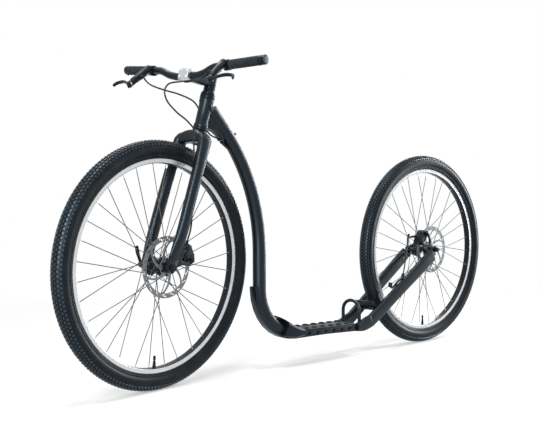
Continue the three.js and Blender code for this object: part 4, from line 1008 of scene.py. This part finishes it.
def headWeld():
    # bead along the joint of main tube and head tube
    base, along = tubeTop()
    across = Vector((0, 1, 0))
    up = along.cross(across)
    radius, steps = tubeShape["radius"], tubeShape["weldSteps"]
    points = []
    for i in range(steps):
        c, s = cosSin(360 * i / steps)
        p = base + across * (radius * c) + up * (radius * s)
        t = 0.0
        while fromHeadAxis(p + along * t) > tubeShape["weldFrom"] and t < tubeShape["weldReach"]:
            t += 0.5
        points.append(p + along * t)
    return tubeMesh(points, tubeShape["weld"], 3, closed=True)


make("head_weld", headWeld(), framePaint, onFrame)


print("stage: deck")

deckShape = {"front": (64.7, 124), "rear": (-187, 119), "half": 50, "thick": 4, "rimPitch": 40, "rims": 6,
             "rows": ((33, 50), (-33, 30)), "hole": [(0, 0.25), (5.3, 0.25)],
             "rim": [(12.2, -0.6), (11.2, 0.7), (10.2, 3.0), (9.0, 4.4), (7.4, 4.8), (6.2, 4.2), (5.5, 2.6),
                     (5.2, -0.6)],
             "shadeSheet": [(-184, 96), (60, 105), (60, 119), (-184, 114)],
             "shadeSheets": {"left": (42, 44), "right": (-44, -42)}}
(frontX, frontZ), (rearX, rearZ) = deckShape["front"], deckShape["rear"]


# raised grip rims, each with a flat dark disc in its middle: painted shade standing in for the inside of its
# hole
def deckRims():
    rims, holes = [], []
    for y, first in deckShape["rows"]:
        for i in range(deckShape["rims"]):
            x = first - i * deckShape["rimPitch"]
            place = move(x, y, rearZ + (frontZ - rearZ) * (x - rearX) / (frontX - rearX))
            rims.append(spun(deckShape["rim"], 28, True))
            holes.append(spun(deckShape["hole"], 20))
            rims[-1].transform(place)
            holes[-1].transform(place)
    return join(*rims), join(*holes)


gripRims, rimHoleShades = deckRims()
deckOutline = [(rearX, rearZ - deckShape["thick"]), (frontX, frontZ - deckShape["thick"]), (frontX, frontZ),
               (rearX, rearZ)]
# dark rubber finish used only for painted shade: the discs in the grip rims and the sheets under the deck
paintedShadeFinish = (butylRubber[0], "frame_paint")
finished("deck_plate", plate(deckOutline, -deckShape["half"], deckShape["half"], 1.4, 3), deckPaint, onFrame)
make("deck_grip_rims", gripRims, deckPaint, onFrame)
make("deck_rim_holes", rimHoleShades, paintedShadeFinish, onFrame)
# thin dark sheets hung under the deck plate's long edges, painted shade under the deck
for side, span in deckShape["shadeSheets"].items():
    make(side + "_deck_shade_sheet", plate(deckShape["shadeSheet"], *span, 0), paintedShadeFinish, onFrame)


print("stage: arms")

armShape = {"bend": (-205, 110, 130), "slope": 33.34, "middle": (46, 66), "half": (12, 23), "fullness": 0.72,
            "root": (-187.3, 105, 0, 0.63, 1.0), "turns": (12, 23), "axle": (-630, 364),
            "tail": ((230, 1.0, 1.0), (100, 1.1, 1.0), (34, 1.08, 0.78))}


def armRows():
    x, z, r = armShape["bend"]
    axleX, axleZ = armShape["axle"]
    rows = [armShape["root"], (x - 8, 107.5, 4, 0.86, 1.0)]
    for angle in (*armShape["turns"], armShape["slope"]):
        c, s = cosSin(angle)
        rows.append((x - r * s, z + r * (1 - c), angle, 1.0, 1.0))
    for before, high, wide in armShape["tail"]:
        rows.append((axleX + before * c, axleZ - before * s, angle, high, wide))
    return rows


def armLoft():
    wide, high = armShape["half"]
    near, far = armShape["middle"]
    sections = []
    for x, z, angle, tall, broad in eased(armRows(), 6):
        y = near + (far - near) * (-190 - x) / 400
        sections.append(section((x, y, z), (0, 1, 0), tipped(angle)[1], wide * broad, high * tall))
    return soften(lofted(sections, 36, armShape["fullness"]), 1.5, 3, 50)


guideShape = {"port": [(3.3, 0), (6.5, 0), (6.5, 17), (5.6, 19), (4.4, 21.5), (3.3, 21.5)],
              "portAt": ((-430, 58, 262), (-435, 58, 283)),
              "path": [(-432, 57.5, 263), (-418, 57, 261), (-402, 56, 252), (-386, 55, 240),
                       (-374, 54.4, 233), (-365, 54, 238)],
              "head": ((-363, 54, 236), (-366, 54, 253), 7.6),
              "pin": ((-397, 55.6, 236), (-399, 55.6, 250), 3.4)}
hosePort = spun(guideShape["port"], 32, True)
hosePort.transform(aim(*guideShape["portAt"]))
finished("left_arm", join(armLoft(), hosePort), framePaint, onFrame)
cableGuide = join(tubeMesh(route(guideShape["path"], 5), 3.8, 4), rod(*guideShape["head"], edge=1.0),
                  rod(*guideShape["pin"]))
make("cable_guide", cableGuide, (blackAlloy[0], "frame_paint"), onFrame)
finished("right_arm", armLoft(), framePaint, ("frame", mirrored))
bridgeShape = {"x": -287, "z": 172, "tilt": 20, "half": (7, 18), "rows": (-43, -20, 0, 20, 43)}
bridge = lofted([section((bridgeShape["x"], y, bridgeShape["z"]), *tipped(bridgeShape["tilt"]),
                         *bridgeShape["half"]) for y in bridgeShape["rows"]], 32, 0.9)
make("bridge_finished", bridge, framePaint, onFrame, "rear_bridge")

hoopShape = {"x": -210, "half": 39, "foot": 116, "leg": 140, "top": 160, "rise": 36, "radius": 6.4}
hoopX, hoopHalf = hoopShape["x"], hoopShape["half"]
hoopPoints = [(hoopX, -hoopHalf, hoopShape["foot"]), (hoopX, -hoopHalf, hoopShape["leg"])]
hoopPoints += [(hoopX, -hoopHalf * c, hoopShape["top"] + hoopShape["rise"] * s)
               for c, s in map(cosSin, range(0, 181, 10))]
hoopPoints += [(hoopX, hoopHalf, hoopShape["leg"]), (hoopX, hoopHalf, hoopShape["foot"])]
finished("foot_hoop", tubeMesh(hoopPoints, hoopShape["radius"], 7), framePaint, onFrame)
finished("right_dropout", copied("right_dropout", 0.8), framePaint, onFrame)
dropoutShape = {"thick": (55, 61), "outline": [
    (33.7, -19), (33.7, 19), (0, 17), (-8, 14.7), (-13.9, 8.5), (-16, 0), (-13.9, -8.5), (-8, -14.7),
    (-5.2, -16), (-5.2, 3), (-2.5, 5.4), (2.5, 5.4), (5.2, 3), (5.2, -17)]}
finished("left_dropout", plate(dropoutShape["outline"], *dropoutShape["thick"], 0.8), framePaint,
         ("frame", wheelPlaces["rear"] @ turn(armShape["slope"], "Y")))
make("rear_brake_mount", lugPlate(brakeShape["rear"]), framePaint, axleHomes["rear"])


print("stage: axles and brakes")

axleShape = {"front": {"inner": 50, "outer": 58, "hub": 44}, "rear": {"inner": 55, "outer": 61, "hub": 49}}
quickReleaseShape = {"angles": {"front": 56, "rear": 100}, "cap": 16.6, "cam": (6.5, 8),
                     "rows": [(2, 0, 5, 4), (20, -2, 5.5, 2.8), (40, -3, 7, 2.4), (54, -1.6, 6.2, 2.1),
                              (58, -1, 4.2, 1.6)]}


def axle(inner, outer, hubEnd):
    return spunAcross([
        (0, -outer - 8), (8.2, -outer - 8), (9, -outer - 7.2), (9, -outer - 0.3), (4.6, -outer - 0.3),
        (4.6, 0.3 - inner), (10, 0.3 - inner), (10, -hubEnd - 0.6), (5, -hubEnd - 0.6), (5, hubEnd + 0.6),
        (10, hubEnd + 0.6), (10, inner - 0.3), (4.6, inner - 0.3), (4.6, outer + 0.3), (9, outer + 0.3),
        (9, outer + 3), (8.4, outer + 4), (7.8, outer + 11.6), (6.4, outer + 13), (0, outer + 13)], 40, False)


def quickRelease(outer, angle):
    c, s = cosSin(angle)
    side, (half, radius) = -outer - quickReleaseShape["cap"], quickReleaseShape["cam"]
    along, across, cap = Vector((c, 0, s)), Vector((-s, 0, c)), Vector((0, side, 0))
    cam = rod(cap - across * half, cap + across * half, radius, sides=32, edge=0.8)
    sections = [section(along * a + Vector((0, side + y, 0)), across, (0, 1, 0), wide, thick)
                for a, y, wide, thick in eased(quickReleaseShape["rows"], 4)]
    return join(cam, lofted(sections, 20, 0.85))


for end, size in axleShape.items():
    finished(end + "_axle", axle(size["inner"], size["outer"], size["hub"]), blackAlloy, axleHomes[end])
    make(end + "_qr_finished", quickRelease(size["outer"], quickReleaseShape["angles"][end]), blackAlloy,
         (end + "_quick_release", axleHomes[end][1]), end + "_qr_lever")

# a port's start, place across, radius and end, and each clamp's start and end, out from the axle
caliperShape = {"ports": ((94, -13, 5.4, 105), (93, 12, 6.0, 104), (80, -26, 4.6, 88), (70, 27, 5.0, 76)),
                "sides": (-23, 23), "clamp": (72, 87), "clampRadius": 5.6, "capAt": 82, "boltAt": 84,
                "face": 13.7,
                "cap": [(0, 0), (11, 0), (11, 1.6), (9.6, 2.0), (9.6, 1.2), (4, 1.2), (4, 1.9), (0, 1.9)]}
for end, brake in brakeShape.items():
    home, disc, angle = axleHomes[end], hubShape[end]["rotor"], brake["angle"]
    finished(end + "_caliper", copied(end + "_caliper", 2.0, 3), blackAlloy, (home[0], rest))
    fittings = []
    for radius, across, bulge, far in caliperShape["ports"]:
        (x0, z0), (x1, z1) = polar(angle, radius, across), polar(angle, far, across * 1.06)
        fittings.append(rod((x0, disc + 6, z0), (x1, disc + 7, z1), bulge, bulge * 0.86, edge=0.9))
    start, stop = caliperShape["clamp"]
    for across in caliperShape["sides"]:
        (x0, z0), (x1, z1) = polar(angle, start, across), polar(angle, stop, across * 1.05)
        fittings.append(rod((x0, disc + 18, z0), (x1, disc + 18, z1), caliperShape["clampRadius"], edge=0.9))
    make(end + "_caliper_fittings", join(*fittings), blackAlloy, home)
    face = disc + caliperShape["face"]
    x, z = polar(angle, caliperShape["capAt"])
    trim = [soften(spun(caliperShape["cap"], 36), 0.3)]
    trim[0].transform(aim((x, face, z), (x, face + 1, z)))
    for across in caliperShape["sides"]:
        x, z = polar(angle, caliperShape["boltAt"], across)
        trim.append(socketBolt((x, face - 1, z), (x, face + 3.4, z), 4.2))
        trim.append(socketBolt((x, disc - 13, z), (x, disc - 16.4, z), 3.8))
    make(end + "_caliper_bolts", join(*trim), boltSteel, home)


print("stage: hoses")

hoseRadius = 2.5
frontHosePoints = [(145.5, 133, 545), (138, 108, 536), (128, 60, 533), (144, 26, 524), (174, 18, 505),
                   (182, 18, 482), (169, 20, 459), (127, 22, 440), (84, 28, 428), (54, 33, 412),
                   (47.5, 35, 396), (45, 34, 378), (36, 34, 350), (28, 40, 300), (22, 43, 240), (2, 45, 180),
                   (-10, 44, 130), (-11, 40.7, 92.6)]
freeRunPoints = [(145.5, -133, 545), (142, -118, 532), (140, -92, 519), (112, -66, 515), (66, -50, 519),
                 (8, -40, 515), (-23, -33, 484), (-43, -24, 452), (-58, -13, 436)]
rearHosePoints = [(330, 0, 692), (290, 0, 634), (258, 0, 556), (238, 0, 460), (233, 0, 380), (233, 0, 270),
                  (221, 0, 212), (189, 0, 164), (140, 0, 131), (90, 0, 114), (40, 4, 110.5), (-60, 22, 107),
                  (-140, 38, 105), (-186, 43, 105), (-214, 45, 108), (-262, 49.6, 127), (-330, 53, 166),
                  (-390, 56, 207), (-421, 58, 233), (-426.6, 58, 250), (-431.8, 58, 270), (-436, 58, 286),
                  (-447, 57, 325), (-462, 51, 362), (-480, 42, 392), (-500, 31.7, 411), (-511.1, 31.7, 415.9)]


def portLine(t):
    return portOuter.lerp(portInner, t)


def hose(points, steps=8, place=rest):
    return tubeMesh(route(points, steps), hoseRadius, 4, place)


freeRunPoints += [(steerPlace.inverted() @ (portLine(t) * mm)) / mm for t in (-0.45, 0.02)]
rearHosePoints = [portLine(0.012), portLine(1)] + rearHosePoints
finished("front_hose", hose(frontHosePoints, place=steerPlace), hoseJacket, ("steering", rest))
freeRun = make("rear_hose_free_finished", hose(freeRunPoints, place=steerPlace), hoseJacket,
               ("steering", rest), "rear_hose_free_run")
freeRun.parent = None
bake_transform(freeRun)
finished("rear_hose", hose(rearHosePoints, 6), hoseJacket, onFrame)

# solids that stay as they are and only take a finish
padNodes = [end + face + "_pad" for end in ("front_", "rear_") for face in ("outer", "inner")]
bearingNodes = ["lower_headset_bearing", "upper_headset_bearing"]
for nodes, finish in ((padNodes, padCompound), (bearingNodes, nippleSteel)):
    for node in nodes:
        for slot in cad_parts[node].material_slots:
            slot.material = finish[0]

scene.view_settings.view_transform = "Standard"
print("stage: finish")
